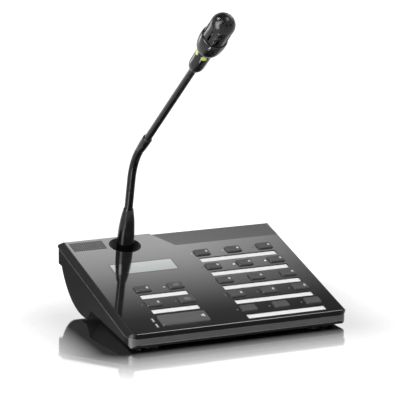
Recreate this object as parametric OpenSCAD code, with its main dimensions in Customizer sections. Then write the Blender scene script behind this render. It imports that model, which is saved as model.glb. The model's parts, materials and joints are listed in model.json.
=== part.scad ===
// Paging call station: a sloping desk console with zone keys, function keys, a talk key,
// a display, a loudspeaker and a microphone on a bendable neck.
// Millimetres. +X is the operator's right, +Y is the back, +Z is up, the desk is at z = 0.

/* [Housing] */
// width of the console
body_w = 220; // [214:1:300]
// length of the panel along its slope
panel_len = 189; // [187:1:240]
// slope of the panel in degrees
panel_tilt = 13; // [11:0.5:16]
// height of the panel's front edge above the desk
front_h = 18; // [17.5:0.5:30]
// thickness of the panel
panel_t = 3; // [2.6:0.1:4]
// depth of the top shell's rim below the panel
rim_h = 5.5; // [5:0.1:8]
// thickness of the housing walls
wall = 2.5; // [1.8:0.1:3]
// how far the rim spreads outwards at the sides and at the back
rim_flare = 5; // [2:0.5:6]
// radius of the upright corners at the front
corner_r = 12; // [8:0.5:14]
// radius of the upright corners at the back
back_corner_r = 4; // [3.5:0.5:6]
// rounding of the panel's edges
edge_r = 1.5; // [0.8:0.1:2]
// how far the lower shell stands back from the rim
shell_step = 0.8; // [0.4:0.1:1.5]

/* [Underside] */
// height of the rubber feet
foot_h = 2.5; // [1.5:0.1:4]
// radius of the rubber feet
foot_r = 6; // [4:0.5:9]
// height of the crease along the front
crease_h = 6.5; // [5:0.1:8]
// height of the side wall's lower edge where it meets the heel
arch_h = 14; // [11:0.5:18]
// how far the sides tuck in under the console at the heel
tuck_in = 12; // [8:0.5:16]
// height of the rear wall between the rim and the ledge over the heel
rear_wall_h = 17.05; // [15:0.05:20]
// how far round the back of the heel curves, in degrees
heel_turn = 61.5; // [50:0.5:64]

/* [Rear strip] */
// depth of the lowered strip at the rear right, along the slope
strip_len = 28; // [20:0.5:30]
// how far the lowered strip falls at the rear edge
strip_drop = 3; // [1.5:0.1:3.2]

/* [Keys] */
// width of the zone and function keys
key_w = 16; // [12:0.5:18]
// depth of the zone and function keys
key_d = 10.6; // [8:0.2:12]
// height of the keys above the panel
key_rise = 1.6; // [1.4:0.1:3]
// width of the talk key
talk_w = 49; // [40:0.5:56]
// depth of the talk key
talk_d = 18.6; // [16:0.2:20]
// pressing travel of every key
key_travel = 1; // [0.5:0.1:1.4]
// from the panel's side to the middle of the last column of zone keys
side_margin = 24.5; // [20:0.5:27]
// from the middle of the left column to the first column of zone keys
zone_shift = 69.5; // [66:0.5:73]
// from the panel's front edge to the last row of zone keys
front_margin = 23.5; // [22.5:0.1:28]
// from the panel's rear edge to the first row of zone keys
rear_margin = 50.1; // [48:0.1:54]
// rows of zone keys
zone_rows = 5;
// columns of zone keys
zone_cols = 3;

/* [Labels and display] */
// depth of a label strip
label_d = 8.4; // [7:0.1:10]
// visible width of the display
display_w = 64; // [54:0.5:68]
// visible depth of the display
display_d = 19.5; // [16:0.5:22]

/* [Speaker] */
// width of the speaker grille
grille_w = 37; // [34:0.2:38]
// depth of the speaker grille
grille_d = 20; // [18:0.2:20]
// slots across the grille
grille_cols = 17; // [9:1:18]
// rows of slots in the grille
grille_rows = 6; // [4:1:7]
// width of a grille slot
grille_slot_w = 1.1; // [0.8:0.05:1.3]
// length of a grille slot
grille_slot_len = 2.2; // [1.6:0.1:2.4]

/* [Neck] */
// radius of the dished socket that takes the neck
socket_r = 16; // [14:0.2:16]
// length of the boot above the panel
boot_h = 40.8; // [34:0.1:48]
// radius of the boot at its foot
boot_r = 8.5; // [7:0.1:9]
// radius of the bendable neck
neck_r = 4.2; // [3.6:0.1:4.4]
// straight run of the neck above the panel
neck_straight = 72.6; // [66:0.1:77]
// radius of the neck's bend
neck_bend_r = 67.9; // [62:0.1:90]
// angle of the neck's bend in degrees
neck_bend = 34.9; // [30:0.1:40]
// turn of the bend from straight forward to the right, in degrees
neck_turn = 5; // [0:0.5:15]
// length of the coupling between neck and tube
coupling_len = 28; // [20:0.5:34]
// length of the tube between coupling and microphone
tube_len = 118.5; // [90:0.5:130]
// radius of the tube
tube_r = 3.6; // [3.2:0.1:3.8]

/* [Microphone] */
// radius of the cup with the lit windows
light_cup_r = 7.8; // [7.4:0.1:9]
// length of the cup with the lit windows
light_cup_len = 25.8; // [22:0.2:28]
// radius of the upper cup at its lip
mic_cup_r = 13.2; // [12.8:0.1:15]
// length of the upper cup
mic_cup_len = 27.5; // [22:0.5:30]
// radius of the grille over the microphone
mic_r = 11.7; // [11:0.1:12]
// length of the grille that shows above the cup
mic_show = 37; // [30:0.2:40]

/* [Fits] */
// gap between a key and the edge of its opening
key_gap = 0.4; // [0.35:0.05:0.6]
// gap around a seated piece
seat_gap = 0.05; // [0.02:0.01:0.1]
// radial clearance of a key stem in its switch
stem_gap = 0.08; // [0.03:0.01:0.1]

/* [Hidden] */
$fn = 64;
t = panel_tilt;
// the console's shape in the plane of its side, y from the panel's front edge
rear_y = (panel_len + rim_flare) * cos(t) + rim_h * sin(t);
shell_front = shell_step + rim_h * sin(t);
shell_rear = rear_y - shell_step;
shell_w = body_w + 2 * rim_flare - 2 * shell_step;
// spread of the rim at the panel's underside
rim_mid = rim_flare * panel_t / rim_h;
// heights of the panel and of the joint between the shells above a point y
function panel_z(y) = front_h + y * tan(t);
function joint_z(y) = panel_z(y) - rim_h / cos(t);
// the ledge over the heel, and the heel's hollowed back
ledge = 11;
ledge_rise = 1;
ledge_h = joint_z(shell_rear) - rear_wall_h - ledge_rise;
heel_r = (ledge_h - foot_h) / (1 - cos(heel_turn));
heel_y = shell_rear - ledge - heel_r * sin(heel_turn);
heel_mid_z = foot_h + heel_r;
arch_y = heel_y - 19;
heel_tip_y = heel_y - 9;
// where the tucked side ends at a height z, on the line from the arch down to the heel's tip
function tuck_end(z) = arch_y + (arch_h - z) * (heel_tip_y - arch_y) / (arch_h - foot_h);
// layout of the panel: x from its middle, q up the slope from its front edge
grille_x = -body_w / 2 + wall + grille_w / 2;
grille_q = panel_len - wall - 0.5 - grille_d / 2;
socket_gap = 2.7;
left_x = grille_x + grille_w / 2 + socket_gap + socket_r;
zone_ends = [left_x + zone_shift, body_w / 2 - side_margin];
zone_x = (zone_ends[0] + zone_ends[1]) / 2;
col_pitch = (zone_ends[1] - zone_ends[0]) / (zone_cols - 1);
fn_pitch = talk_w - 14.5;
first_q = panel_len - rear_margin;
row_pitch = (first_q - front_margin) / (zone_rows - 1);
label_shift = row_pitch / 2 - 0.3;
function row_q(row) = first_q - row * row_pitch;
function label_q(row) = row_q(row) - label_shift;
zone_label_w = 2 * col_pitch + key_w - 1.5;
fn_label_w = talk_w;
talk_gap = 6;
talk_q = label_q(3) - label_d / 2 - talk_gap - talk_d / 2;
display_x = left_x + 1.5;
display_q = panel_len - 64.9;
socket_q = panel_len - 18.4;
strip_x = left_x + 49.8;
strip_slant = 15.7;
strip_q = panel_len - edge_r - strip_len;
strip_fall = atan(strip_drop / strip_len);
strip_t = 2.2;
grille_lip = 1.5;
speaker_t = 2.4;
speaker_floor = 0.7;
hub_r = 5;
cone_r = 30;
cone_depth = 1;
magnet_r = 7.5;
magnet_h = 6;
// keys and what lies under them, depths below the panel's surface
key_r = 1.2;
key_taper = 0.8;
flange_t = 1.2;
flange_w = 1.2;
rest_gap = 0.05;
board_n = 12;
board_t = 1.6;
switch_w = 6.2;
switch_h = 3.5;
stem_r = 1.6;
stem_end = board_n - switch_h + 0.7;
well_depth = 0.7 + key_travel + 0.6;
lens_r = 1;
lens_shift = 11.5;
label_t = 0.4;
cover_t = 1;
window_t = 1.5;
window_lip = 1.5;
lcd_t = 4.5;
lcd_lip = 4;
talk_lens = [2.6, 7.4];
talk_lens_x = left_x - talk_w / 2 - 5.6;
// screws and posts
boss_r = 3.5;
boss_n = 9;
post_r = 4.8;
screw_r = 1.45;
pilot_r = 1.5;
hole_r = 1.7;
post_reach = 60;
drive_len = 3.2;
drive_w = 0.7;
head_r = 2.8;
head_h = 2;
bore_r = 3.2;
seat_n = 15.5;
screw_x = body_w / 2 - 12;
screw_qs = [12, panel_len - 34];
board_post_r = 3;
board_xs = [-body_w / 2 + 18, left_x + 41, body_w / 2 - 13];
board_qs = [label_q(3), label_q(0)];
board_ends = [row_q(zone_rows - 1) - 6.3, row_q(0) + 4.4];
board_head_r = 2.2;
board_head_h = 1.3;
board_screw_r = 0.95;
foot_edge = 0.6;
foot_x = body_w / 2 - 26;
foot_ys = [18, heel_y - 5];
// line jack in the rear wall
jack_w = 15;
jack_len = 13.4;
jack_h = 10;
jack_mouth = [11.8, 7.2];
jack_depth = 11;
jack_x = body_w / 4;
jack_z = ledge_h + ledge_rise + 1.3;
// neck and microphone
dish_depth = 5;
plug_len = 10;
plug_r = neck_r + 0.2;
plug_gap = 0.08;
boot_top_r = 4.9;
boot_bore = neck_r + seat_gap;
neck_arc = neck_bend * PI / 180 * neck_bend_r;
neck_len = neck_straight + neck_arc;
neck_split = (boot_h + neck_len) / 2;
split_bend = (neck_split - neck_straight) / neck_bend_r * 180 / PI;
coupling_r = 4.6;
head_z = coupling_len + tube_len;
tube_in = 6;
tube_wall = 0.8;
cup_z = head_z + light_cup_len;
lip_z = cup_z + mic_cup_len;
dome_z = lip_z + mic_show - mic_r;
light_bore = light_cup_r - 1.3;
light_ring_t = 1.2;
window_w = 5;
window_h = 8;
window_z = head_z + 17;
window_turn = 58;
mic_wall = 0.9;
mic_seat = 8;
slot_w = 2;
slot_len = 15;
slots = 8;
end_hole_ring = 6.6;
end_holes = 10;
end_hole_r = 0.8;
capsule_r = 6;
capsule_h = 9;
capsule_z = dome_z - capsule_h;
mount_h = 4;
// the row's origin lies on the desk midway between the console's back and the microphone's tip
tip_q = socket_q - cos(neck_turn) * (neck_bend_r * (1 - cos(neck_bend)) + dome_z * sin(neck_bend));
tip_n = neck_straight + neck_bend_r * sin(neck_bend) + dome_z * cos(neck_bend);
tip_y = tip_q * cos(t) - tip_n * sin(t);
mid_y = (rear_y + tip_y - mic_r) / 2;

// moves a piece from the front edge of the panel to the row's origin
module in_row() {
  translate([0, -mid_y, 0])
    children();
}

// x across, y up the slope from the front edge, z out of the panel
module on_panel() {
  in_row()
    translate([0, 0, front_h])
      rotate([t, 0, 0])
        children();
}

// stands on the panel where the neck comes out, bending towards -y
module on_neck() {
  on_panel()
    translate([left_x, socket_q, 0])
      rotate([0, 0, neck_turn])
        children();
}

// stands on the end of the bend, z along the tube
module on_arm() {
  on_neck()
    translate([0, -neck_bend_r * (1 - cos(neck_bend)), neck_straight + neck_bend_r * sin(neck_bend)])
      rotate([neck_bend, 0, 0])
        children();
}

// rounded rectangle, middle on the origin
module round_rect(w, d, r) {
  square([w - 2 * r, d], center = true);
  square([w, d - 2 * r], center = true);
  for (x = [-1, 1])
    for (y = [-1, 1])
      translate([x * (w / 2 - r), y * (d / 2 - r)])
        circle(r);
}

// upright plate with rounded corners, top face at the given height
module plate(w, d, top, thick, r) {
  translate([0, 0, top - thick])
    linear_extrude(thick)
      round_rect(w, d, r);
}

// plan of the console from front to back, with its own corner radii there
module round_plan(w, front, back, front_r, back_r) {
  translate([-w / 2, front + front_r])
    square([w, back - front - front_r - back_r]);
  for (end = [[front, front + front_r, front_r], [back - back_r, back, back_r]])
    translate([-w / 2 + end[2], end[0]])
      square([w - 2 * end[2], end[1] - end[0]]);
  for (s = [-1, 1])
    for (corner = [[front + front_r, front_r], [back - back_r, back_r]])
      translate([s * (w / 2 - corner[1]), corner[0]])
        circle(corner[1]);
}

// section of the rim, its top between two ends and its sides spreading towards the foot
module rim_section(ends, flares) {
  leans = [for (f = flares) atan(f / rim_h)];
  cuts = [for (lean = leans) edge_r / tan(45 + lean / 2)];
  polygon([
    [ends[0] - flares[0], -rim_h],
    [ends[0] - cuts[0] * sin(leans[0]), -cuts[0] * cos(leans[0])],
    [ends[0] + cuts[0], 0],
    [ends[1] - cuts[1], 0],
    [ends[1] + cuts[1] * sin(leans[1]), -cuts[1] * cos(leans[1])],
    [ends[1] + flares[1], -rim_h]
  ]);
  for (x = [ends[0] + cuts[0], ends[1] - cuts[1]])
    translate([x, -edge_r])
      circle(edge_r);
}

// the top shell's outside
module top_blank() {
  intersection() {
    translate([0, 0, -rim_h])
      linear_extrude(rim_h)
        round_plan(body_w + 2 * rim_flare, 0, panel_len + rim_flare, corner_r, back_corner_r);
    translate([-body_w, 0, 0])
      rotate([90, 0, 90])
        linear_extrude(2 * body_w)
          rim_section([0, panel_len], [0, rim_flare]);
    translate([0, 2 * panel_len, 0])
      rotate([90, 0, 0])
        linear_extrude(3 * panel_len)
          rim_section([-body_w / 2, body_w / 2], [rim_flare, rim_flare]);
  }
}

// outline of the lowered strip at the rear right, with its slanting end
module strip_plan(grow) {
  polygon([
    [strip_x - grow, strip_q], [body_w / 2 + rim_flare + 1, strip_q],
    [body_w / 2 + rim_flare + 1, panel_len + rim_flare + 1],
    [strip_x - strip_slant - grow, panel_len + rim_flare + 1]
  ]);
}

// layer of the lowered strip, between two heights above its sloping floor
module strip_layer(low, high, grow) {
  intersection() {
    translate([0, 0, -rim_h])
      linear_extrude(2 * rim_h)
        strip_plan(grow);
    translate([-body_w, strip_q, 0])
      rotate([-strip_fall, 0, 0])
        translate([0, 0, low])
          cube([2 * body_w, 2 * strip_len, high - low]);
  }
}

module at_screws() {
  for (q = screw_qs)
    for (s = [-1, 1])
      translate([s * screw_x, q, 0])
        children();
}

module at_board_posts() {
  for (q = board_qs)
    for (x = board_xs)
      translate([x, q, 0])
        children();
}

module at_zone_key(i) {
  translate([zone_x + ((i % zone_cols) - 1) * col_pitch, row_q(floor(i / zone_cols)), 0])
    children();
}

module at_function_key(i) {
  translate([left_x + ((i % 2) - 0.5) * fn_pitch, row_q(2 + floor(i / 2)), 0])
    children();
}

module at_talk_key() {
  translate([left_x, talk_q, 0])
    children();
}

module at_small_keys() {
  for (i = [0:zone_rows * zone_cols - 1])
    at_zone_key(i)
      children();
  for (i = [0:3])
    at_function_key(i)
      children();
}

module at_zone_labels() {
  for (row = [0:zone_rows - 1])
    translate([zone_x, label_q(row), 0])
      children();
}

module at_function_labels() {
  for (row = [2:3])
    translate([left_x, label_q(row), 0])
      children();
}

module at_talk_lamps() {
  for (s = [-1, 1])
    translate([talk_lens_x, talk_q - 2 + s * 5.2, 0])
      children();
}

module label_pocket(w) {
  plate(w + 2 * seat_gap, label_d + 2 * seat_gap, 1, label_t + cover_t + 1, 0.6);
}

module key_opening(w, d) {
  plate(w + 2 * key_gap, d + 2 * key_gap, 1, panel_t + 3, key_r + key_gap);
}

// glossy panel with its rim, bosses for the screws and posts for the board
module top_shell() {
  color([0.05, 0.05, 0.05])
    on_panel()
      difference() {
        union() {
          difference() {
            top_blank();
            translate([0, 0, -panel_t - rim_h])
              linear_extrude(rim_h)
                round_plan(body_w + 2 * (rim_mid - wall) - 1, wall, panel_len + rim_mid - wall - 0.5,
                  corner_r - wall, back_corner_r - wall);
          }
          intersection() {
            strip_layer(-strip_t, 1, 5);
            translate([0, 0, 0.2 - rim_h])
              linear_extrude(rim_h - 0.6)
                round_plan(body_w + 0.6, 1, panel_len + 0.3, corner_r, back_corner_r);
          }
          at_screws()
            translate([0, 0, -boss_n])
              cylinder(h = boss_n - 1, r = boss_r);
          at_board_posts()
            translate([0, 0, -board_n])
              cylinder(h = board_n - 2, r = board_post_r);
        }
        strip_layer(0, 2 * rim_h, 0);
        at_screws()
          translate([0, 0, -boss_n - 1])
            cylinder(h = boss_n - panel_t + 0.5, r = pilot_r);
        at_board_posts()
          translate([0, 0, -board_n - 1])
            cylinder(h = 7, r = board_screw_r + seat_gap);
        at_small_keys()
          key_opening(key_w, key_d);
        at_talk_key()
          key_opening(talk_w, talk_d);
        at_small_keys()
          translate([-lens_shift, 0, -panel_t - 1])
            cylinder(h = panel_t + 2, r = lens_r + seat_gap);
        at_talk_lamps()
          plate(talk_lens[0] + 2 * seat_gap, talk_lens[1] + 2 * seat_gap, 1, panel_t + 2, 0.5);
        at_zone_labels()
          label_pocket(zone_label_w);
        at_function_labels()
          label_pocket(fn_label_w);
        translate([display_x, display_q, 0]) {
          plate(display_w, display_d, 1, panel_t + 2, 0.8);
          plate(display_w + 2 * window_lip + 2 * seat_gap, display_d + 2 * window_lip + 2 * seat_gap,
            1, window_t + 1, 1.2);
        }
        translate([grille_x, grille_q, 0]) {
          plate(grille_w + 2 * seat_gap, grille_d + 2 * seat_gap, 1, window_t + 1, 0.8);
          plate(grille_w - 2 * grille_lip, grille_d - 2 * grille_lip, 1, panel_t + 2, 0.8);
        }
        translate([left_x, socket_q, -panel_t - 1])
          cylinder(h = panel_t + 2, r = socket_r);
      }
}

// side outline of the lower shell, set in from its outside by g
module shell_side(g) {
  front = shell_front + g;
  rear = shell_rear - g;
  low = foot_h + g;
  crease = crease_h + g * 0.4;
  arc = heel_r - g;
  ledge_y = heel_y + arc * sin(heel_turn);
  ledge_z = heel_mid_z - arc * cos(heel_turn);
  lift = g > 0 ? 20 : 0;
  polygon([
    [front, crease], [front + crease - low, low], [heel_y, low],
    [heel_y, joint_z(heel_y) + lift], [front, joint_z(front) + lift]
  ]);
  intersection() {
    translate([heel_y, heel_mid_z])
      circle(arc, $fn = 180);
    polygon([
      [heel_y - 1, foot_h], [ledge_y, foot_h], [ledge_y, joint_z(ledge_y) + lift],
      [heel_y - 1, joint_z(heel_y - 1) + lift]
    ]);
  }
  polygon([
    [ledge_y - 1, ledge_z], [ledge_y, ledge_z], [rear, ledge_z + ledge_rise],
    [rear, joint_z(rear) + lift], [ledge_y - 1, joint_z(ledge_y - 1) + lift]
  ]);
}

// space outside the tucked side, with its skin moved inwards by g
module side_tuck(g) {
  rise = atan((arch_h - crease_h) / arch_y);
  lean = atan(tuck_in / (arch_h - foot_h));
  for (s = [0, 1])
    mirror([s, 0, 0])
      intersection() {
        translate([shell_w / 2, 0, crease_h])
          rotate([rise, 0, 0])
            rotate([0, lean, 0])
              translate([-g, -20, -60])
                cube([40, arch_y + 60, 90]);
        translate([shell_w / 2 + 10, 0, 0])
          rotate([0, -90, 0])
            linear_extrude(60)
              polygon([[-30, -20], [60, -20], [60, tuck_end(60) + g], [-30, tuck_end(-30) + g]]);
      }
}

// a block with the side outline of the lower shell and rounded upright corners
module shell_block(g) {
  intersection() {
    translate([-shell_w / 2 + g, 0, 0])
      rotate([90, 0, 90])
        linear_extrude(shell_w - 2 * g)
          shell_side(g);
    translate([0, 0, -1])
      linear_extrude(panel_z(rear_y) + 40)
        round_plan(shell_w - 2 * g, shell_front + g, shell_rear - g,
          corner_r - shell_step - min(g, 2), back_corner_r - shell_step - min(g, 2));
  }
}

// satin lower shell with tucked sides, a hollowed heel and posts for the screws
module bottom_shell() {
  color([0.18, 0.18, 0.18])
    in_row()
      difference() {
        intersection() {
          difference() {
            shell_block(0);
            side_tuck(0);
          }
          union() {
            difference() {
              translate([-body_w, -10, 0])
                cube([2 * body_w, 2 * panel_len, 4 * front_h]);
              difference() {
                shell_block(wall);
                side_tuck(wall);
              }
            }
            translate([0, 0, front_h])
              rotate([t, 0, 0])
                at_screws()
                  translate([0, 0, -boss_n - post_reach])
                    cylinder(h = post_reach, r = post_r);
          }
        }
        translate([0, 0, front_h])
          rotate([t, 0, 0])
            at_screws() {
              translate([0, 0, -seat_n - 1])
                cylinder(h = 20, r = hole_r);
              translate([0, 0, -seat_n - post_reach])
                cylinder(h = post_reach, r = bore_r);
            }
        translate([jack_x - jack_w / 2 - seat_gap, shell_rear - jack_len, jack_z - seat_gap])
          cube([jack_w + 2 * seat_gap, jack_len + 1, jack_h + 2 * seat_gap]);
      }
}

module rubber_feet() {
  color([0.08, 0.08, 0.08])
    in_row()
      for (y = foot_ys)
        for (s = [-1, 1])
          translate([s * foot_x, y, 0]) {
            cylinder(h = foot_edge, r1 = foot_r - foot_edge, r2 = foot_r);
            translate([0, 0, foot_edge])
              cylinder(h = foot_h - foot_edge, r = foot_r);
          }
}

module housing_screws() {
  color([0.6, 0.6, 0.62])
    on_panel()
      at_screws()
        difference() {
          union() {
            translate([0, 0, -seat_n])
              cylinder(h = seat_n - 4.5, r = screw_r);
            translate([0, 0, -seat_n - head_h])
              cylinder(h = head_h, r = head_r);
          }
          for (a = [0, 90])
            rotate([0, 0, a])
              translate([-drive_len / 2, -drive_w / 2, -seat_n - 1.5 * head_h])
                cube([drive_len, drive_w, head_h]);
        }
}

// perforated insert over the speaker
module speaker_grille() {
  pitch_x = (grille_w - 2 * grille_lip - grille_slot_w) / (grille_cols - 1);
  pitch_y = (grille_d - 2 * grille_lip - grille_slot_len) / (grille_rows - 1);
  color([0.12, 0.12, 0.12])
    on_panel()
      translate([grille_x, grille_q, -window_t])
        linear_extrude(window_t)
          difference() {
            round_rect(grille_w, grille_d, 0.8);
            for (i = [0:grille_cols - 1])
              for (j = [0:grille_rows - 1])
                translate([(i - (grille_cols - 1) / 2) * pitch_x, (j - (grille_rows - 1) / 2) * pitch_y])
                  round_rect(grille_slot_w, grille_slot_len, grille_slot_w / 2 - 0.05);
          }
}

module speaker_frame() {
  color([0.2, 0.2, 0.2])
    on_panel()
      translate([grille_x, grille_q, 0])
        difference() {
          plate(grille_w, grille_d, -panel_t, speaker_t, 3);
          plate(grille_w - 2 * grille_lip, grille_d - 2 * grille_lip,
            -panel_t + 1, speaker_t + 1 - speaker_floor, 2);
          translate([0, 0, -panel_t - speaker_t - 1])
            cylinder(h = speaker_t, r = hub_r);
        }
}

module speaker_cone() {
  color([0.1, 0.1, 0.1])
    on_panel()
      translate([grille_x, grille_q, 0])
        difference() {
          plate(grille_w - 2 * grille_lip - 2 * seat_gap, grille_d - 2 * grille_lip - 2 * seat_gap,
            -panel_t - 0.3, 1.2, 1.9);
          intersection() {
            translate([0, 0, -panel_t - 0.3 + cone_r - cone_depth])
              sphere(r = cone_r);
            plate(grille_w - 8, grille_d - 6, 0, 20, 3);
          }
        }
}

module speaker_magnet() {
  color([0.35, 0.35, 0.36])
    on_panel()
      translate([grille_x, grille_q, -panel_t - speaker_t - magnet_h]) {
        cylinder(h = magnet_h, r = magnet_r);
        translate([0, 0, magnet_h])
          cylinder(h = speaker_floor, r = hub_r - 2 * seat_gap);
      }
}

module main_board() {
  color([0.05, 0.3, 0.12])
    on_panel()
      difference() {
        translate([-body_w / 2 + 14, board_ends[0], -board_n - board_t])
          cube([body_w - 24, board_ends[1] - board_ends[0], board_t]);
        at_board_posts()
          translate([0, 0, -board_n - board_t - 1])
            cylinder(h = board_t + 2, r = board_screw_r + 0.15);
      }
}

module board_screws() {
  color([0.6, 0.6, 0.62])
    on_panel()
      at_board_posts()
        translate([0, 0, -board_n - board_t]) {
          cylinder(h = board_t + 5, r = board_screw_r);
          translate([0, 0, -board_head_h])
            cylinder(h = board_head_h, r = board_head_r);
        }
}

module key_switch() {
  difference() {
    translate([-switch_w / 2, -switch_w / 2, -board_n])
      cube([switch_w, switch_w, switch_h]);
    translate([0, 0, -board_n + switch_h - well_depth])
      cylinder(h = well_depth + 1, r = stem_r + stem_gap);
  }
}

module key_switches() {
  color([0.3, 0.3, 0.3])
    on_panel() {
      at_small_keys()
        key_switch();
      at_talk_key()
        key_switch();
    }
}

// cap with sloping sides above the panel, a flange under it and a stem into the switch
module key(w, d) {
  low = -panel_t - rest_gap;
  intersection() {
    plate(w, d, key_rise, key_rise - low, key_r);
    translate([-w / 2, 0, 0])
      rotate([90, 0, 90])
        linear_extrude(w)
          polygon([[-d / 2, low], [d / 2, low], [d / 2, 0.4], [d / 2 - key_taper, key_rise],
            [-d / 2 + key_taper, key_rise], [-d / 2, 0.4]]);
    translate([0, d / 2, 0])
      rotate([90, 0, 0])
        linear_extrude(d)
          polygon([[-w / 2, low], [w / 2, low], [w / 2, 0.4], [w / 2 - key_taper, key_rise],
            [-w / 2 + key_taper, key_rise], [-w / 2, 0.4]]);
  }
  plate(w + 2 * flange_w, d + 2 * flange_w, low, flange_t, key_r);
  translate([0, 0, -stem_end])
    cylinder(h = stem_end + low - flange_t, r = stem_r);
}

module zone_key(i) {
  color([0.25, 0.25, 0.25])
    on_panel()
      at_zone_key(i - 1)
        key(key_w, key_d);
}

module function_key(i) {
  color([0.25, 0.25, 0.25])
    on_panel()
      at_function_key(i - 1)
        key(key_w, key_d);
}

module talk_key() {
  color([0.35, 0.35, 0.35])
    on_panel()
      at_talk_key()
        key(talk_w, talk_d);
}

module key_lamps() {
  color([0.45, 0.42, 0.3])
    on_panel()
      at_small_keys()
        translate([-lens_shift, 0, 0]) {
          translate([0, 0, -panel_t])
            cylinder(h = panel_t, r = lens_r);
          translate([0, 0, -panel_t - 1])
            cylinder(h = 1, r = lens_r + 0.6);
        }
}

module talk_lamps() {
  color([0.9, 0.85, 0.5])
    on_panel()
      at_talk_lamps() {
        plate(talk_lens[0], talk_lens[1], 0.2, panel_t + 0.2, 0.5);
        plate(talk_lens[0] + 1, talk_lens[1] + 1, -panel_t, 1, 0.5);
      }
}

module zone_labels() {
  color([0.95, 0.95, 0.95])
    on_panel()
      at_zone_labels()
        plate(zone_label_w - 0.4, label_d - 0.4, -cover_t, label_t, 0.6);
}

module zone_label_covers() {
  color([0.85, 0.88, 0.9, 0.4])
    on_panel()
      at_zone_labels()
        plate(zone_label_w, label_d, 0, cover_t, 0.6);
}

module function_labels() {
  color([0.95, 0.95, 0.95])
    on_panel()
      at_function_labels()
        plate(fn_label_w - 0.4, label_d - 0.4, -cover_t, label_t, 0.6);
}

module function_label_covers() {
  color([0.85, 0.88, 0.9, 0.4])
    on_panel()
      at_function_labels()
        plate(fn_label_w, label_d, 0, cover_t, 0.6);
}

module display_window() {
  color([0.85, 0.88, 0.9, 0.4])
    on_panel()
      translate([display_x, display_q, 0])
        plate(display_w + 2 * window_lip, display_d + 2 * window_lip, 0, window_t, 1.2);
}

module lcd_glass() {
  color([0.72, 0.74, 0.72])
    on_panel()
      translate([display_x, display_q, 0])
        plate(display_w - 0.4, display_d - 0.4, -window_t - 0.1, panel_t - window_t - 0.1, 0.6);
}

module lcd_frame() {
  color([0.15, 0.15, 0.15])
    on_panel()
      translate([display_x, display_q, 0])
        plate(display_w + 2 * lcd_lip, display_d + 2 * lcd_lip, -panel_t, lcd_t, 0.8);
}

// network socket in the rear wall, its mouth to the back
module line_jack() {
  color([0.1, 0.1, 0.1])
    in_row()
      translate([jack_x, shell_rear - jack_len, jack_z])
        difference() {
          translate([-jack_w / 2, 0, 0])
            cube([jack_w, jack_len, jack_h]);
          translate([-jack_mouth[0] / 2, jack_len - jack_depth, (jack_h - jack_mouth[1]) / 2])
            cube([jack_mouth[0], jack_depth + 1, jack_mouth[1]]);
        }
}

// dished ring in the panel with the bore that takes the neck's plug
module neck_socket() {
  lip = socket_r - seat_gap;
  bore = plug_r + plug_gap;
  color([0.09, 0.09, 0.09])
    on_panel()
      translate([left_x, socket_q, 0])
        rotate_extrude()
          polygon([
            [lip, 0], [lip - 1, 0], [boot_r + 1.2, -dish_depth], [bore, -dish_depth],
            [bore, -dish_depth - plug_len - 1], [bore + 3, -dish_depth - plug_len - 1],
            [bore + 3, -dish_depth - 2.5], [socket_r - 4, -dish_depth - 2.5],
            [socket_r + 0.6, -panel_t - 2], [socket_r + 0.6, -panel_t], [lip, -panel_t]
          ]);
}

module neck_plug() {
  color([0.6, 0.6, 0.62])
    on_neck()
      translate([0, 0, -dish_depth - plug_len])
        cylinder(h = plug_len, r = plug_r);
}

// tapering boot round the foot of the neck
module neck_boot() {
  steps = 24;
  color([0.07, 0.07, 0.07])
    on_neck()
      rotate_extrude()
        polygon(concat(
          [[boot_bore, boot_h], [boot_bore, -dish_depth], [boot_r, -dish_depth]],
          [for (i = [0:steps]) [boot_r - (boot_r - boot_top_r) * pow(i / steps, 2.6), boot_h * i / steps]]
        ));
}

// part of the bend, from one angle to another
module neck_arc(from, to) {
  translate([0, -neck_bend_r, neck_straight])
    rotate([90, 0, 90])
      rotate([0, 0, from])
        rotate_extrude(angle = to - from, $fn = 180)
          translate([neck_bend_r, 0])
            circle(neck_r, $fn = 48);
}

module flex_neck_lower() {
  color([0.1, 0.1, 0.1])
    on_neck() {
      translate([0, 0, -dish_depth])
        cylinder(h = dish_depth + neck_straight, r = neck_r, $fn = 48);
      neck_arc(0, split_bend);
    }
}

module flex_neck_upper() {
  color([0.1, 0.1, 0.1])
    on_neck()
      neck_arc(split_bend, neck_bend);
}

module neck_coupling() {
  color([0.12, 0.12, 0.12])
    on_arm()
      rotate_extrude()
        polygon([
          [0, 0], [neck_r, 0], [coupling_r, 0.6], [coupling_r, coupling_len - 2.4],
          [tube_r + 0.3, coupling_len], [0, coupling_len]
        ]);
}

module neck_tube() {
  color([0.1, 0.1, 0.1])
    on_arm()
      translate([0, 0, coupling_len])
        difference() {
          cylinder(h = tube_len + tube_in, r = tube_r);
          translate([0, 0, -1])
            cylinder(h = tube_len + tube_in + 2, r = tube_r - tube_wall);
        }
}

// cup with four windows for the lit ring
module light_cup() {
  steps = 12;
  round_h = 7;
  color([0.08, 0.08, 0.08])
    on_arm()
      difference() {
        rotate_extrude()
          polygon(concat(
            [[tube_r + seat_gap, head_z]],
            [for (i = [0:steps]) [
              4.3 + (light_cup_r - 4.8) * sin(90 * i / steps),
              head_z + round_h * (1 - cos(90 * i / steps))
            ]],
            [[light_cup_r, cup_z], [light_bore, cup_z],
              [light_bore, head_z + tube_in + 3], [tube_r + seat_gap, head_z + tube_in + 3]]
          ));
        for (k = [0:3])
          translate([0, 0, window_z])
            rotate([0, 0, window_turn + 90 * k])
              rotate([0, 90, 0]) {
                translate([(window_h - window_w) / 2, 0, 0])
                  cylinder(h = 2 * light_cup_r, d = window_w);
                translate([-(window_h - window_w) / 2, 0, 0])
                  cylinder(h = 2 * light_cup_r, d = window_w);
                translate([-(window_h - window_w) / 2, -window_w / 2, 0])
                  cube([window_h - window_w, window_w, 2 * light_cup_r]);
              }
      }
}

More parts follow.
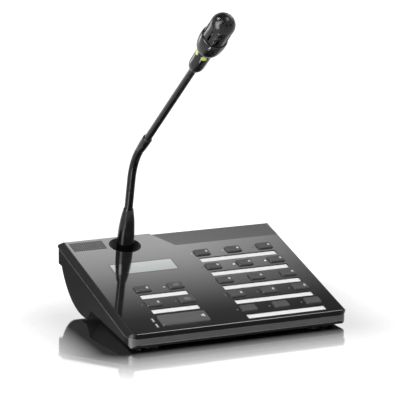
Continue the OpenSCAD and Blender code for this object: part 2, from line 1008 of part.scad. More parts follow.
module light_ring() {
  low = head_z + tube_in + 3;
  color([0.7, 0.85, 0.3])
    on_arm()
      rotate_extrude()
        polygon([
          [light_bore - seat_gap, low], [light_bore - seat_gap, cup_z],
          [light_bore - light_ring_t, cup_z], [light_bore - light_ring_t, low]
        ]);
}

// flared cup that carries the grille
module mic_cup() {
  steps = 16;
  floor_t = 2;
  color([0.08, 0.08, 0.08])
    on_arm()
      rotate_extrude()
        polygon(concat(
          [[0, cup_z]],
          [for (i = [0:steps]) [
            light_cup_r - 0.4 + (mic_cup_r - light_cup_r + 0.4) * sin(90 * i / steps),
            cup_z + (mic_cup_len - 2) * (1 - cos(90 * i / steps))
          ]],
          [[mic_cup_r, lip_z - 0.7], [mic_cup_r - 0.6, lip_z], [mic_r + seat_gap, lip_z],
            [mic_r + seat_gap, lip_z - mic_seat], [light_cup_r - 2, lip_z - mic_seat],
            [light_cup_r - 2, cup_z + floor_t], [0, cup_z + floor_t]]
        ));
}

// domed grille with slots along its side and a ring of holes in its end
module mic_grille() {
  color([0.1, 0.1, 0.1])
    on_arm()
      difference() {
        union() {
          translate([0, 0, lip_z - mic_seat])
            cylinder(h = dome_z - lip_z + mic_seat, r = mic_r);
          translate([0, 0, dome_z])
            sphere(r = mic_r);
        }
        translate([0, 0, lip_z - mic_seat - 1])
          cylinder(h = dome_z - lip_z + mic_seat + 1, r = mic_r - mic_wall);
        translate([0, 0, dome_z])
          sphere(r = mic_r - mic_wall);
        for (k = [0:slots - 1])
          rotate([0, 0, 360 / slots * (k + 0.5)])
            translate([0, -slot_w / 2, dome_z - slot_len - 2])
              cube([2 * mic_r, slot_w, slot_len]);
        for (k = [0:end_holes - 1])
          rotate([0, 0, 360 / end_holes * k])
            translate([end_hole_ring, 0, dome_z + 4])
              cylinder(h = mic_r, r = end_hole_r);
      }
}

module mic_capsule() {
  color([0.65, 0.65, 0.66])
    on_arm()
      translate([0, 0, capsule_z])
        cylinder(h = capsule_h, r = capsule_r);
}

// rubber ring that holds the capsule in the grille
module capsule_mount() {
  color([0.06, 0.06, 0.06])
    on_arm()
      translate([0, 0, capsule_z])
        difference() {
          cylinder(h = mount_h, r = mic_r - mic_wall - seat_gap);
          translate([0, 0, -1])
            cylinder(h = mount_h + 2, r = capsule_r + seat_gap);
        }
}

top_shell();
bottom_shell();
rubber_feet();
housing_screws();
speaker_grille();
speaker_frame();
speaker_cone();
speaker_magnet();
main_board();
board_screws();
key_switches();
line_jack();
display_window();
lcd_glass();
lcd_frame();
zone_labels();
zone_label_covers();
function_labels();
function_label_covers();
key_lamps();
talk_lamps();
zone_key(1);  // zone_key_1
zone_key(2);  // zone_key_2
zone_key(3);  // zone_key_3
zone_key(4);  // zone_key_4
zone_key(5);  // zone_key_5
zone_key(6);  // zone_key_6
zone_key(7);  // zone_key_7
zone_key(8);  // zone_key_8
zone_key(9);  // zone_key_9
zone_key(10);  // zone_key_10
zone_key(11);  // zone_key_11
zone_key(12);  // zone_key_12
zone_key(13);  // zone_key_13
zone_key(14);  // zone_key_14
zone_key(15);  // zone_key_15
function_key(1);  // function_key_1
function_key(2);  // function_key_2
function_key(3);  // function_key_3
function_key(4);  // function_key_4
talk_key();
neck_socket();
neck_plug();
neck_boot();
flex_neck_lower();
flex_neck_upper();
neck_coupling();
neck_tube();
light_cup();
light_ring();
mic_cup();
mic_grille();
mic_capsule();
capsule_mount();
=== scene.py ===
"""Looks of a paging call station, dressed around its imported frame.

The console is a sloping desk housing with a polished panel, keys, labels, a display and a
loudspeaker. A microphone stands on a bendable neck. All lengths are metres in the row frame.
"""

import json
import logging
import math
from collections.abc import Sequence
from dataclasses import dataclass, field
from enum import Enum

import bmesh
import bpy
from mathutils import Matrix, Vector

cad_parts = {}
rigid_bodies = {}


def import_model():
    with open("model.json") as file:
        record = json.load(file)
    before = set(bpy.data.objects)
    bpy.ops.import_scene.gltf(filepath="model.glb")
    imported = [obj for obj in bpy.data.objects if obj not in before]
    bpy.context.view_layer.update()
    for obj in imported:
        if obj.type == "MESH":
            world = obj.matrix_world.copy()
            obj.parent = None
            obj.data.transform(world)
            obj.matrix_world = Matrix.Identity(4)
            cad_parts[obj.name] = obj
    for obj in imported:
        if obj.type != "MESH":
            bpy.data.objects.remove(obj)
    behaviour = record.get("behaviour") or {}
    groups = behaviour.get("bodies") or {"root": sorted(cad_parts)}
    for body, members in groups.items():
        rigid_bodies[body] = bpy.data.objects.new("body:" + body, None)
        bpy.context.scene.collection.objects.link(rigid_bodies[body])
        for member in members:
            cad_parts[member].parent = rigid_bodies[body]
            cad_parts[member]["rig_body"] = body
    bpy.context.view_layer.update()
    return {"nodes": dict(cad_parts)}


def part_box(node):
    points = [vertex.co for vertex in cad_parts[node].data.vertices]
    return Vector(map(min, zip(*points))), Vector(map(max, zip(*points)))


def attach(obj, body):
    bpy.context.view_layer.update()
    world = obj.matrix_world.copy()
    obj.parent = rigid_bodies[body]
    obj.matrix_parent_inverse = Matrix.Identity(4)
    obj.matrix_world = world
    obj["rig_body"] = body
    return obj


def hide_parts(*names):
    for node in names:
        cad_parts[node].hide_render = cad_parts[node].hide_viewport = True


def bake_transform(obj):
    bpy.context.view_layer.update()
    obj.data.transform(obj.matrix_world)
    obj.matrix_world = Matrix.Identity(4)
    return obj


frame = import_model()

log = logging.getLogger("call_station")

Span = tuple[float, float]
Triple = tuple[float, float, float]
Colour = Triple
Profile = list[Span]
Ring = list[Vector]
Socket = bpy.types.NodeSocket

MM = 0.001
TILT = math.radians(13)
WHITE = (1.0, 1.0, 1.0, 1.0)
QUADRANTS = ((1, 1), (-1, 1), (-1, -1), (1, -1))
# Part of a noise's range that patterns use.
NOISE_SPAN = (0.3, 0.7)
# Distances under which points count as one.
WELD = 1e-6
TINY = 1e-7
# Angles in degrees: shading, flat faces that join, edges that are softened.
SMOOTH_ANGLE = 32.0
REFINED_ANGLE = 28.0
FLAT_ANGLE = 0.4
BEVEL_ANGLE = 38.0
# Limits of rounded corners: least radius, least straight rest, share of an edge, angle of a straight line.
LEAST_RADIUS = 0.01 * MM
LEAST_EDGE = 0.001 * MM
EDGE_SHARE = 0.45
STRAIGHT = 0.2
CORNER_STEPS = 3
# Share of a softened edge where its middle lies.
SOFT_SHARE = 0.35


class Slot(Enum):
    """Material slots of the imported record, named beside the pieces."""

    GLOSS = "black_gloss"
    BASE = "grey_satin"
    SATIN = "black_satin"
    KEY = "key_grey"
    TALK = "key_light"
    RUBBER = "rubber"
    SLEEVE = "neck_black"
    TUBE = "tube_black"
    METAL = "dark_metal"
    STEEL = "steel"
    CLEAR = "clear"
    DISPLAY = "lcd"
    LAMP = "lamp_off"
    TALK_LAMP = "lamp_yellow"
    GLOW = "lamp_green"


class Mark(Enum):
    """Plain printed marks on the tops of the keys."""

    NONE = "none"
    DOT = "dot"
    BARS = "bars"
    HORN = "horn"


# ---------------------------------------------------------------- node trees


class Nodes:
    """Node tree under construction."""

    def __init__(self, tree: bpy.types.NodeTree) -> None:
        """Takes the tree that gets the nodes."""
        self.tree = tree

    def add(self, kind: str, values: dict[str, object] | None = None) -> bpy.types.Node:
        """Adds a node.

        Args:
            kind: type of the node.
            values: numbers and colours that go straight on its inputs.

        Returns:
            The node.
        """
        node = self.tree.nodes.new(kind)
        for name, value in (values or {}).items():
            node.inputs[name].default_value = value
        return node

    def link(self, source: Socket, target: Socket) -> None:
        """Links two sockets."""
        self.tree.links.new(source, target)

    def give(self, value: Socket | float | Sequence[float], target: Socket) -> None:
        """Links a socket to a target, or sets a constant on it.

        Args:
            value: a socket, a number or a colour.
            target: the input that gets it.
        """
        if isinstance(value, Socket):
            self.link(value, target)
        else:
            target.default_value = value

    def math(self, operation: str, first: Socket, second: Socket | float = 0.0) -> Socket:
        """Joins two values.

        Args:
            operation: what is done with them.
            first: a socket.
            second: a socket or a number.

        Returns:
            The result socket.
        """
        node = self.add("ShaderNodeMath")
        node.operation = operation
        self.link(first, node.inputs[0])
        self.give(second, node.inputs[1])
        return node.outputs[0]

    def mix(
        self, factor: Socket, first: Socket | Sequence[float], second: Socket | Sequence[float]
    ) -> Socket:
        """Colour between two.

        Args:
            factor: how much of the second one shows.
            first: a socket or a colour.
            second: a socket or a colour.

        Returns:
            The colour socket.
        """
        node = self.add("ShaderNodeMix")
        node.data_type = "RGBA"
        self.link(factor, node.inputs["Factor"])
        for index, colour in ((6, first), (7, second)):
            self.give(colour, node.inputs[index])
        return node.outputs[2]

    def span(
        self, value: Socket, low: float, high: float,
        first: float = NOISE_SPAN[0], last: float = NOISE_SPAN[1],
    ) -> Socket:
        """Maps a value to a range.

        Args:
            value: what is mapped.
            low: result at first.
            high: result at last.
            first: start of the mapped range.
            last: end of the mapped range.

        Returns:
            The result socket.
        """
        node = self.add("ShaderNodeMapRange", {
            "From Min": first, "From Max": last, "To Min": low, "To Max": high,
        })
        self.link(value, node.inputs["Value"])
        return node.outputs["Result"]

    def greys(self, value: Socket, levels: Sequence[Span]) -> Socket:
        """Grey of a ramp, by a value.

        Args:
            value: what picks the grey.
            levels: places along the ramp and their grey levels.

        Returns:
            The colour socket.
        """
        node = self.add("ShaderNodeValToRGB")
        stops = node.color_ramp.elements
        while len(stops) < len(levels):
            stops.new(0.5)
        for stop, (along, level) in zip(stops, levels):
            stop.position = along
            stop.color = (level, level, level, 1.0)
        self.link(value, node.inputs["Fac"])
        return node.outputs["Color"]


class Graph(Nodes):
    """Node tree of one material, with its patterns on Object coordinates."""

    def __init__(self, name: str) -> None:
        """Starts the material.

        Args:
            name: name of the material.
        """
        self.material = bpy.data.materials.new(name)
        self.material.use_nodes = True
        super().__init__(self.material.node_tree)
        self.tree.nodes.clear()
        self.shader = self.add("ShaderNodeBsdfPrincipled")
        self.output = self.add("ShaderNodeOutputMaterial")
        self.link(self.shader.outputs["BSDF"], self.output.inputs["Surface"])
        self.coords = self.add("ShaderNodeTexCoord").outputs["Object"]

    def feed(self, name: str, source: Socket) -> None:
        """Links a socket to a named input of the shader."""
        self.link(source, self.shader.inputs[name])

    def constants(self, values: dict[str, object]) -> None:
        """Sets numbers and colours straight on named inputs of the shader."""
        for name, value in values.items():
            self.shader.inputs[name].default_value = value

    def mapped(
        self, stretch: Triple = (1.0, 1.0, 1.0), turn: float = 0.0, shift: Sequence[float] = (0.0, 0.0, 0.0)
    ) -> Socket:
        """Object coordinates, stretched, turned about x and moved.

        Args:
            stretch: scale along the three axes.
            turn: angle about x in radians.
            shift: how far they are moved.

        Returns:
            The vector socket.
        """
        node = self.add("ShaderNodeMapping", {
            "Location": shift, "Rotation": (turn, 0.0, 0.0), "Scale": stretch,
        })
        self.link(self.coords, node.inputs["Vector"])
        return node.outputs["Vector"]

    def noise(self, scale: float, detail: float = 3.0, vector: Socket | None = None) -> Socket:
        """Noise value.

        Args:
            scale: repeats per metre.
            detail: octaves.
            vector: coordinates, Object ones if left out.

        Returns:
            The value socket.
        """
        node = self.add("ShaderNodeTexNoise", {"Scale": scale, "Detail": detail})
        self.link(vector or self.coords, node.inputs["Vector"])
        return node.outputs[0]

    def blend(self, value: Socket, dark: Colour, light: Colour) -> Socket:
        """Colour between two, by a pattern.

        Args:
            value: what picks the colour.
            dark: colour at the low end of the pattern.
            light: colour at its high end.

        Returns:
            The colour socket.
        """
        node = self.add("ShaderNodeValToRGB")
        for stop, along, colour in zip(node.color_ramp.elements, NOISE_SPAN, (dark, light)):
            stop.position = along
            stop.color = (*colour, 1.0)
        self.link(value, node.inputs["Fac"])
        return node.outputs["Color"]

    def bump(self, height: Socket, depth: float) -> None:
        """Roughens the shader's normal.

        Args:
            height: pattern of the relief.
            depth: height of the relief in metres.
        """
        node = self.add("ShaderNodeBump", {"Strength": 1.0, "Distance": depth})
        self.link(height, node.inputs["Height"])
        self.feed("Normal", node.outputs["Normal"])


# ---------------------------------------------------------------- finishes


def shaded(colour: Colour, factor: float) -> Colour:
    """Lighter or darker colour, at most white."""
    return tuple(min(1.0, c * factor) for c in colour)


@dataclass(frozen=True)
class Finish:
    """Moulded, lacquered or plated surface with clouds, grain and a little relief."""

    name: str
    colour: Colour
    rough: Span
    drift: float
    cloud: float
    grain: float
    relief: float
    metallic: float = 0.0
    specular: float = 0.5
    coat: float = 0.0
    coat_rough: float = 0.03
    sheen: float = 0.0
    stretch: Triple = (1.0, 1.0, 1.0)
    ior: float = 1.5
    cloud_detail: float = 4.0
    grain_detail: float = 2.0

    def build(self) -> bpy.types.Material:
        """Makes the material.

        Returns:
            The material.
        """
        graph = Graph(self.name)
        clouds = graph.noise(self.cloud, self.cloud_detail)
        grain = graph.noise(self.grain, self.grain_detail, graph.mapped(self.stretch))
        dark, light = shaded(self.colour, 1 - self.drift), shaded(self.colour, 1 + self.drift)
        graph.feed("Base Color", graph.blend(clouds, dark, light))
        graph.feed("Roughness", graph.span(grain, *self.rough))
        graph.bump(grain, self.relief)
        graph.constants({
            "Metallic": self.metallic, "IOR": self.ior, "Specular IOR Level": self.specular,
            "Coat Weight": self.coat, "Coat Roughness": self.coat_rough, "Sheen Weight": self.sheen,
        })
        return graph.material


@dataclass(frozen=True)
class ClearFinish:
    """Clear plastic with faint handling marks."""

    name: str = "clear_plastic"
    marks: float = 60.0
    detail: float = 5.0
    rough: Span = (0.03, 0.09)
    dark: Colour = (0.08, 0.08, 0.08)
    light: Colour = (0.11, 0.11, 0.11)
    ior: float = 1.49
    alpha: float = 0.06

    def build(self) -> bpy.types.Material:
        """Makes the material.

        Returns:
            The material.
        """
        graph = Graph(self.name)
        marks = graph.noise(self.marks, self.detail)
        graph.feed("Roughness", graph.span(marks, *self.rough))
        graph.feed("Base Color", graph.blend(marks, self.dark, self.light))
        graph.constants({"IOR": self.ior, "Alpha": self.alpha})
        return graph.material


@dataclass(frozen=True)
class PaperFinish:
    """White label card with a fibre grain."""

    name: str = "label_card"
    colour: Colour = (0.97, 0.97, 0.97)
    shade: float = 0.97
    fibres: float = 900.0
    detail: float = 6.0
    stretch: Triple = (1.0, 2.5, 1.0)
    rough: Span = (0.6, 0.75)
    relief: float = 0.00002

    def build(self) -> bpy.types.Material:
        """Makes the material.

        Returns:
            The material.
        """
        graph = Graph(self.name)
        fibre = graph.noise(self.fibres, self.detail, graph.mapped(self.stretch))
        graph.feed("Base Color", graph.blend(fibre, shaded(self.colour, self.shade), self.colour))
        graph.feed("Roughness", graph.span(fibre, *self.rough))
        graph.bump(fibre, self.relief)
        return graph.material


@dataclass(frozen=True)
class DisplayFinish:
    """Pale display glass with a fine grid of dots behind it."""

    name: str = "display_glass"
    colour: Colour = (0.40, 0.42, 0.415)
    light: float = 1.04
    gap_shade: float = 0.8
    dots: float = 2300.0
    gap: float = 0.06
    smears: float = 50.0
    rough: Span = (0.06, 0.1)

    def build(self) -> bpy.types.Material:
        """Makes the material.

        Returns:
            The material.
        """
        graph = Graph(self.name)
        grid = graph.add("ShaderNodeTexBrick", {
            "Scale": self.dots, "Mortar Size": self.gap, "Brick Width": 1.0, "Row Height": 1.0,
            "Color1": (*self.colour, 1.0), "Color2": (*shaded(self.colour, self.light), 1.0),
            "Mortar": (*shaded(self.colour, self.gap_shade), 1.0),
        })
        grid.offset = 0.0
        graph.link(graph.mapped(turn=-TILT), grid.inputs["Vector"])
        graph.feed("Base Color", grid.outputs["Color"])
        graph.feed("Roughness", graph.span(graph.noise(self.smears), *self.rough))
        graph.constants({"Metallic": 1.0})
        return graph.material


@dataclass(frozen=True)
class LampFinish:
    """Lens of a lamp, lit a little or a lot, clouded like a light pipe."""

    name: str
    colour: Colour
    strength: float
    rough: Span = (0.175, 0.325)
    clouds: float = 700.0
    deep: float = 0.8
    ior: float = 1.5

    def build(self) -> bpy.types.Material:
        """Makes the material.

        Returns:
            The material.
        """
        graph = Graph(self.name)
        cloud = graph.noise(self.clouds)
        tint = graph.blend(cloud, shaded(self.colour, self.deep), self.colour)
        graph.feed("Base Color", tint)
        graph.feed("Emission Color", tint)
        graph.feed("Roughness", graph.span(cloud, *self.rough))
        graph.constants({"Emission Strength": self.strength, "IOR": self.ior})
        return graph.material


@dataclass(frozen=True)
class BoardFinish:
    """Green circuit board with copper runs under the mask."""

    name: str = "circuit_board"
    dark: Colour = (0.012, 0.09, 0.035)
    light: Colour = (0.016, 0.11, 0.045)
    copper: Colour = (0.05, 0.20, 0.07)
    runs: float = 120.0
    run_w: float = 0.08
    rough: Span = (0.35, 0.25)
    relief: float = 0.00003

    def build(self) -> bpy.types.Material:
        """Makes the material.

        Returns:
            The material.
        """
        graph = Graph(self.name)
        runs = graph.add("ShaderNodeTexBrick", {
            "Scale": self.runs, "Mortar Size": self.run_w, "Color1": (*self.dark, 1.0),
            "Color2": (*self.light, 1.0), "Mortar": (*self.copper, 1.0),
        })
        graph.link(graph.coords, runs.inputs["Vector"])
        graph.feed("Base Color", runs.outputs["Color"])
        graph.feed("Roughness", graph.span(runs.outputs["Fac"], *self.rough, 0.0, 1.0))
        graph.bump(runs.outputs["Fac"], self.relief)
        return graph.material


@dataclass(frozen=True)
class ConeFinish:
    """Black paper cone of the loudspeaker, with rings round its middle."""

    name: str = "speaker_paper"
    middle: Triple = (-0.089, 0.101, 0.058)
    dark: Colour = (0.008, 0.008, 0.009)
    light: Colour = (0.02, 0.02, 0.021)
    rings: float = 260.0
    waver: float = 0.4
    rough: float = 0.8
    relief: float = 0.00008

    def build(self) -> bpy.types.Material:
        """Makes the material.

        Returns:
            The material.
        """
        graph = Graph(self.name)
        rings = graph.add("ShaderNodeTexWave", {"Scale": self.rings, "Distortion": self.waver})
        rings.wave_type, rings.rings_direction = "RINGS", "Z"
        graph.link(graph.mapped(shift=tuple(-c for c in self.middle)), rings.inputs["Vector"])
        graph.feed("Base Color", graph.blend(rings.outputs["Fac"], self.dark, self.light))
        graph.bump(rings.outputs["Fac"], self.relief)
        graph.constants({"Roughness": self.rough})
        return graph.material


class Finishes:
    """Every finish of the station, made once and kept."""

    # Name, colour, roughness, drift of the colour, clouds and grain per metre, relief in metres.
    panel = Finish("panel_lacquer", (0.010, 0.010, 0.011), (0.05, 0.09), 0.2, 25.0, 600.0, 0.000002,
                   coat=1.0, coat_rough=0.02)
    # Darker, less shiny copy of the lacquer on the top shell's sides: painted shade.
    rim = Finish("rim_painted_shade", (0.005, 0.005, 0.005), (0.16, 0.24), 0.2, 40.0, 2000.0, 0.000004,
                 specular=0.12)
    # The lower shell is one moulding: this darker copy on its sides and underside is painted shade, and the
    # lighter front copy below is painted light.
    base = Finish("base_painted_shade", (0.0155, 0.0155, 0.016), (0.42, 0.52), 0.10, 20.0, 2200.0, 0.00003,
                  specular=0.005)
    front_lit = Finish("front_painted_light", (0.060, 0.060, 0.061), (0.30, 0.38), 0.10, 20.0, 2200.0, 0.00002,
                   specular=0.25)
    # Light grey of the thin pieces along the joint and the front crease: painted highlight.
    painted_highlight = Finish("joint_bead", (0.09, 0.09, 0.09), (0.3, 0.4), 0.10, 40.0, 2200.0, 0.00001, specular=0.25)
    # Matt near-black of the dished socket, also put on the walls of the speaker slots as painted shade.
    dish = Finish("dish_and_slot_shade", (0.004, 0.004, 0.004), (0.45, 0.55), 0.2, 60.0, 2000.0, 0.00001,
                  specular=0.15)
    satin = Finish("black_moulding", (0.007, 0.007, 0.0075), (0.13, 0.18), 0.12, 40.0, 2400.0, 0.000005,
                   specular=0.3)
    dome = Finish("dome_moulding", (0.007, 0.007, 0.0075), (0.13, 0.2), 0.12, 40.0, 800.0, 0.00022,
                  specular=0.27)
    inner = Finish("grey_moulding", (0.10, 0.10, 0.10), (0.45, 0.6), 0.10, 60.0, 2000.0, 0.00002)
    key = Finish("key_moulding", (0.040, 0.040, 0.042), (0.38, 0.48), 0.10, 90.0, 2600.0, 0.00001)
    talk = Finish("talk_key_moulding", (0.062, 0.062, 0.063), (0.40, 0.50), 0.08, 60.0, 2600.0, 0.00001)
    rubber = Finish("foot_rubber", (0.012, 0.012, 0.012), (0.75, 0.9), 0.2, 120.0, 1500.0, 0.00005, sheen=0.2)
    boot = Finish("boot_moulding", (0.004, 0.004, 0.0042), (0.14, 0.18), 0.15, 90.0, 1600.0, 0.000005,
                  specular=0.26)
    sleeve = Finish("neck_sleeve", (0.006, 0.006, 0.0065), (0.12, 0.16), 0.15, 90.0, 1600.0, 0.000005,
                    specular=0.2, stretch=(1.0, 1.0, 3.0))
    tube = Finish("tube_paint", (0.007, 0.007, 0.0075), (0.16, 0.22), 0.12, 70.0, 2000.0, 0.000005,
                  specular=0.28)
    metal = Finish("dark_metal", (0.10, 0.10, 0.105), (0.35, 0.5), 0.15, 80.0, 900.0, 0.00002, metallic=1.0)
    steel = Finish("plated_steel", (0.60, 0.60, 0.62), (0.22, 0.34), 0.08, 150.0, 1400.0, 0.000006,
                   metallic=1.0, stretch=(1.0, 6.0, 1.0))
    gold = Finish("contact_plating", (0.78, 0.56, 0.22), (0.18, 0.3), 0.08, 200.0, 1600.0, 0.000004,
                  metallic=1.0)
    print_white = Finish("white_print", (0.55, 0.55, 0.55), (0.5, 0.65), 0.06, 400.0, 2500.0, 0.000004)
    print_grey = Finish("grey_print", (0.22, 0.22, 0.22), (0.5, 0.65), 0.15, 400.0, 2500.0, 0.000004)
    clear = ClearFinish()
    paper = PaperFinish()
    display = DisplayFinish()
    # Name, colour, strength of the glow.
    lamp = LampFinish("key_lamp_lens", (0.10, 0.10, 0.10), 0.02)
    lamp_faint = LampFinish("key_lamp_faint", (0.40, 0.40, 0.39), 0.12)
    lamp_bright = LampFinish("key_lamp_bright", (0.85, 0.85, 0.83), 0.45)
    talk_lamp = LampFinish("talk_lamp_lens", (0.60, 0.59, 0.50), 0.09)
    glow = LampFinish("window_glow", (0.44, 0.55, 0.11), 0.42)
    board = BoardFinish()
    cone = ConeFinish()

    made: dict[str, bpy.types.Material] = {}

    @classmethod
    def of(cls, finish: object) -> bpy.types.Material:
        """Material of a finish, built the first time it is asked for.

        Args:
            finish: one of the finishes above.

        Returns:
            The material.
        """
        if finish.name not in cls.made:
            cls.made[finish.name] = finish.build()
        return cls.made[finish.name]


# ---------------------------------------------------------------- frames


@dataclass(frozen=True)
class PanelFrame:
    """The panel: x across, q up the slope from its front edge, n out of it."""

    tilt: float = TILT
    front_h: float = 18 * MM
    mid_y: float = 70.6637 * MM

    @property
    def out(self) -> Vector:
        """Direction out of the panel."""
        return self.matrix().to_3x3() @ Vector((0.0, 0.0, 1.0))

    def matrix(self, x: float = 0.0, q: float = 0.0, n: float = 0.0) -> Matrix:
        """Matrix to the row frame from a frame that stands on a point of the panel."""
        lift = Matrix.Translation((0.0, -self.mid_y, self.front_h))
        return lift @ Matrix.Rotation(self.tilt, 4, "X") @ Matrix.Translation((x, q, n))


PANEL = PanelFrame()


@dataclass(frozen=True)
class NeckPath:
    """The neck's line: straight up from the panel, then an arc towards the operator."""

    foot_x: float = -51.8 * MM
    foot_q: float = 170.6 * MM
    turn: float = math.radians(5)
    straight: float = 72.6 * MM
    bend_r: float = 67.9 * MM
    bend: float = math.radians(34.9)

    @property
    def length(self) -> float:
        """Length of the neck above the panel."""
        return self.straight + self.bend * self.bend_r

    def foot(self) -> Matrix:
        """Frame of the neck's foot, z along the neck."""
        return PANEL.matrix(self.foot_x, self.foot_q) @ Matrix.Rotation(self.turn, 4, "Z")

    def at(self, s: float) -> Matrix:
        """Frame on the neck.

        Args:
            s: length along the neck from the panel.

        Returns:
            The frame there, z along the neck.
        """
        angle = max(0.0, s - self.straight) / self.bend_r
        rise = min(s, self.straight) + self.bend_r * math.sin(angle)
        reach = -self.bend_r * (1 - math.cos(angle))
        return self.foot() @ Matrix.Translation((0.0, reach, rise)) @ Matrix.Rotation(angle, 4, "X")

    def arm(self) -> Matrix:
        """Frame of the stiff arm that the neck carries, z along its tube."""
        return self.at(self.length)


NECK = NeckPath()


# ---------------------------------------------------------------- outlines


def square_ring(w: float, d: float) -> Ring:
    """Rectangle as a ring of four points, counterclockwise."""
    return [Vector((sx * w / 2, sy * d / 2, 0.0)) for sx, sy in QUADRANTS]


def round_ring(w: float, d: float, r: float, z: float, steps: int = 5) -> Ring:
    """Rounded rectangle as a ring of points.

    Args:
        w: width.
        d: depth.
        r: radius of the corners.
        z: height of the ring.
        steps: pieces of each corner.

    Returns:
        The points, counterclockwise.
    """
    r = max(LEAST_RADIUS, min(r, w / 2 - LEAST_EDGE, d / 2 - LEAST_EDGE))
    ring = []
    for k, (sx, sy) in enumerate(QUADRANTS):
        for i in range(steps + 1):
            a = math.radians(90 * (k + i / steps))
            x, y = sx * (w / 2 - r) + r * math.cos(a), sy * (d / 2 - r) + r * math.sin(a)
            ring.append(Vector((x, y, z)))
    return ring


def circle_ring(r: float, z: float, steps: int) -> Ring:
    """Circle as a ring of points."""
    turns = (2 * math.pi * i / steps for i in range(steps))
    return [Vector((r * math.cos(a), r * math.sin(a), z)) for a in turns]


def at_height(ring: Ring, z: float) -> Ring:
    """The same ring at another height."""
    return [Vector((p.x, p.y, z)) for p in ring]


def soft_side(low: float, edge: float) -> Profile:
    """Insets and heights of a plate's side, from its underside to a softened edge at height 0."""
    bend = SOFT_SHARE * edge
    return [(0.0, low), (0.0, -edge), (bend, -bend), (edge, 0.0)]


def flare(start: Span, end: Span, steps: int) -> Profile:
    """Quarter of an ellipse that leaves its start level and ends upright.

    Args:
        start: radius and height where it starts.
        end: radius and height where it ends.
        steps: pieces of the quarter.

    Returns:
        The corners.
    """
    (r, z), (end_r, end_z) = start, end
    turns = (math.radians(90 * i / steps) for i in range(steps + 1))
    return [(r + (end_r - r) * math.sin(a), z + (end_z - z) * (1 - math.cos(a))) for a in turns]


def rounded(outline: Profile, radius: float) -> Profile:
    """Rounds the corners of an outline that lie off the axis.

    Args:
        outline: corners of the section.
        radius: radius of the rounding, less where an edge is short.

    Returns:
        The finer outline.
    """
    points = [Vector(p) for p in outline]
    result: Profile = []
    for i, p in enumerate(points):
        back, ahead = points[i - 1] - p, points[(i + 1) % len(points)] - p
        cut = min(radius, EDGE_SHARE * back.length, EDGE_SHARE * ahead.length)
        if p.x < TINY or cut < TINY or abs(back.angle(ahead) - math.pi) < STRAIGHT:
            result.append((p.x, p.y))
            continue
        a, b = p + back.normalized() * cut, p + ahead.normalized() * cut
        for k in range(CORNER_STEPS + 1):
            t = k / CORNER_STEPS
            q = a * (1 - t) ** 2 + p * (2 * t * (1 - t)) + b * t ** 2
            result.append((q.x, q.y))
    return result


# ---------------------------------------------------------------- mesh tools


def linked(name: str, data: bpy.types.ID) -> bpy.types.Object:
    """New object in the scene.

    Args:
        name: name of the object.
        data: its mesh, lamp or camera.

    Returns:
        The object.
    """
    obj = bpy.data.objects.new(name, data)
    bpy.context.scene.collection.objects.link(obj)
    return obj


def mesh_of(name: str, bm: bmesh.types.BMesh) -> bpy.types.Mesh:
    """Mesh from one under construction, which is freed.

    Args:
        name: name of the mesh.
        bm: the mesh under construction.

    Returns:
        The mesh.
    """
    mesh = bpy.data.meshes.new(name)
    bm.to_mesh(mesh)
    bm.free()
    return mesh


def smooth(mesh: bpy.types.Mesh, angle: float = SMOOTH_ANGLE) -> None:
    """Shades a mesh smooth, apart from edges sharper than an angle in degrees."""
    mesh.polygons.foreach_set("use_smooth", [True] * len(mesh.polygons))
    mesh.set_sharp_from_angle(angle=math.radians(angle))


def object_from(name: str, mesh: bpy.types.Mesh, finishes: list[object]) -> bpy.types.Object:
    """Object with a mesh and its finishes.

    Args:
        name: name of the piece.
        mesh: its mesh.
        finishes: finishes in the order of the faces' material numbers.

    Returns:
        The object, linked to the scene.
    """
    for finish in finishes:
        mesh.materials.append(Finishes.of(finish))
    return linked(name, mesh)


def piece_from(
    name: str, bm: bmesh.types.BMesh, finishes: list[object], matrix: Matrix | None = None
) -> bpy.types.Object:
    """Turns a mesh under construction into an object at the origin.

    Args:
        name: name of the piece.
        bm: the mesh, freed here.
        finishes: finishes in the order of the faces' material numbers.
        matrix: where the mesh goes.

    Returns:
        The object.
    """
    bmesh.ops.recalc_face_normals(bm, faces=bm.faces)
    if matrix is not None:
        bm.transform(matrix)
    mesh = mesh_of(name, bm)
    smooth(mesh)
    return object_from(name, mesh, finishes)


def loft(bm: bmesh.types.BMesh, rings: list[Ring], material: int = 0, caps: bool = True) -> None:
    """Skins a row of closed rings.

    Args:
        bm: the mesh that gets the skin.
        rings: rings with the same number of points.
        material: material number of the faces.
        caps: whether both ends are closed, with the first two faces.
    """
    rows = [[bm.verts.new(p) for p in ring] for ring in rings]
    faces = [bm.faces.new(list(reversed(rows[0]))), bm.faces.new(rows[-1])] if caps else []
    for low, high in zip(rows, rows[1:]):
        for i in range(len(low)):
            j = (i + 1) % len(low)
            faces.append(bm.faces.new((low[i], low[j], high[j], high[i])))
    for face in faces:
        face.material_index = material


def lathe(bm: bmesh.types.BMesh, outline: Profile, steps: int) -> None:
    """Turns a closed outline round z.

    Args:
        bm: the mesh that gets the turned shape.
        outline: radius and height of each corner, in order round the section.
        steps: pieces of the circle.
    """
    rows: list[list[bmesh.types.BMVert]] = []
    for r, z in outline:
        if r < TINY:
            rows.append([bm.verts.new((0.0, 0.0, z))] * steps)
        else:
            rows.append([bm.verts.new(p) for p in circle_ring(r, z, steps)])
    for low, high in zip(rows, rows[1:] + rows[:1]):
        for i in range(steps):
            j = (i + 1) % steps
            corners = list(dict.fromkeys((low[i], low[j], high[j], high[i])))
            if len(corners) > 2:
                bm.faces.new(corners)


def turned(
    name: str, outline: Profile, steps: int, finish: object, matrix: Matrix | None = None
) -> bpy.types.Object:
    """Turned piece.

    Args:
        name: name of the piece.
        outline: radius and height of each corner of its section.
        steps: pieces of the circle.
        finish: its finish.
        matrix: where it goes.

    Returns:
        The object.
    """
    bm = bmesh.new()
    lathe(bm, outline, steps)
    return piece_from(name, bm, [finish], matrix)


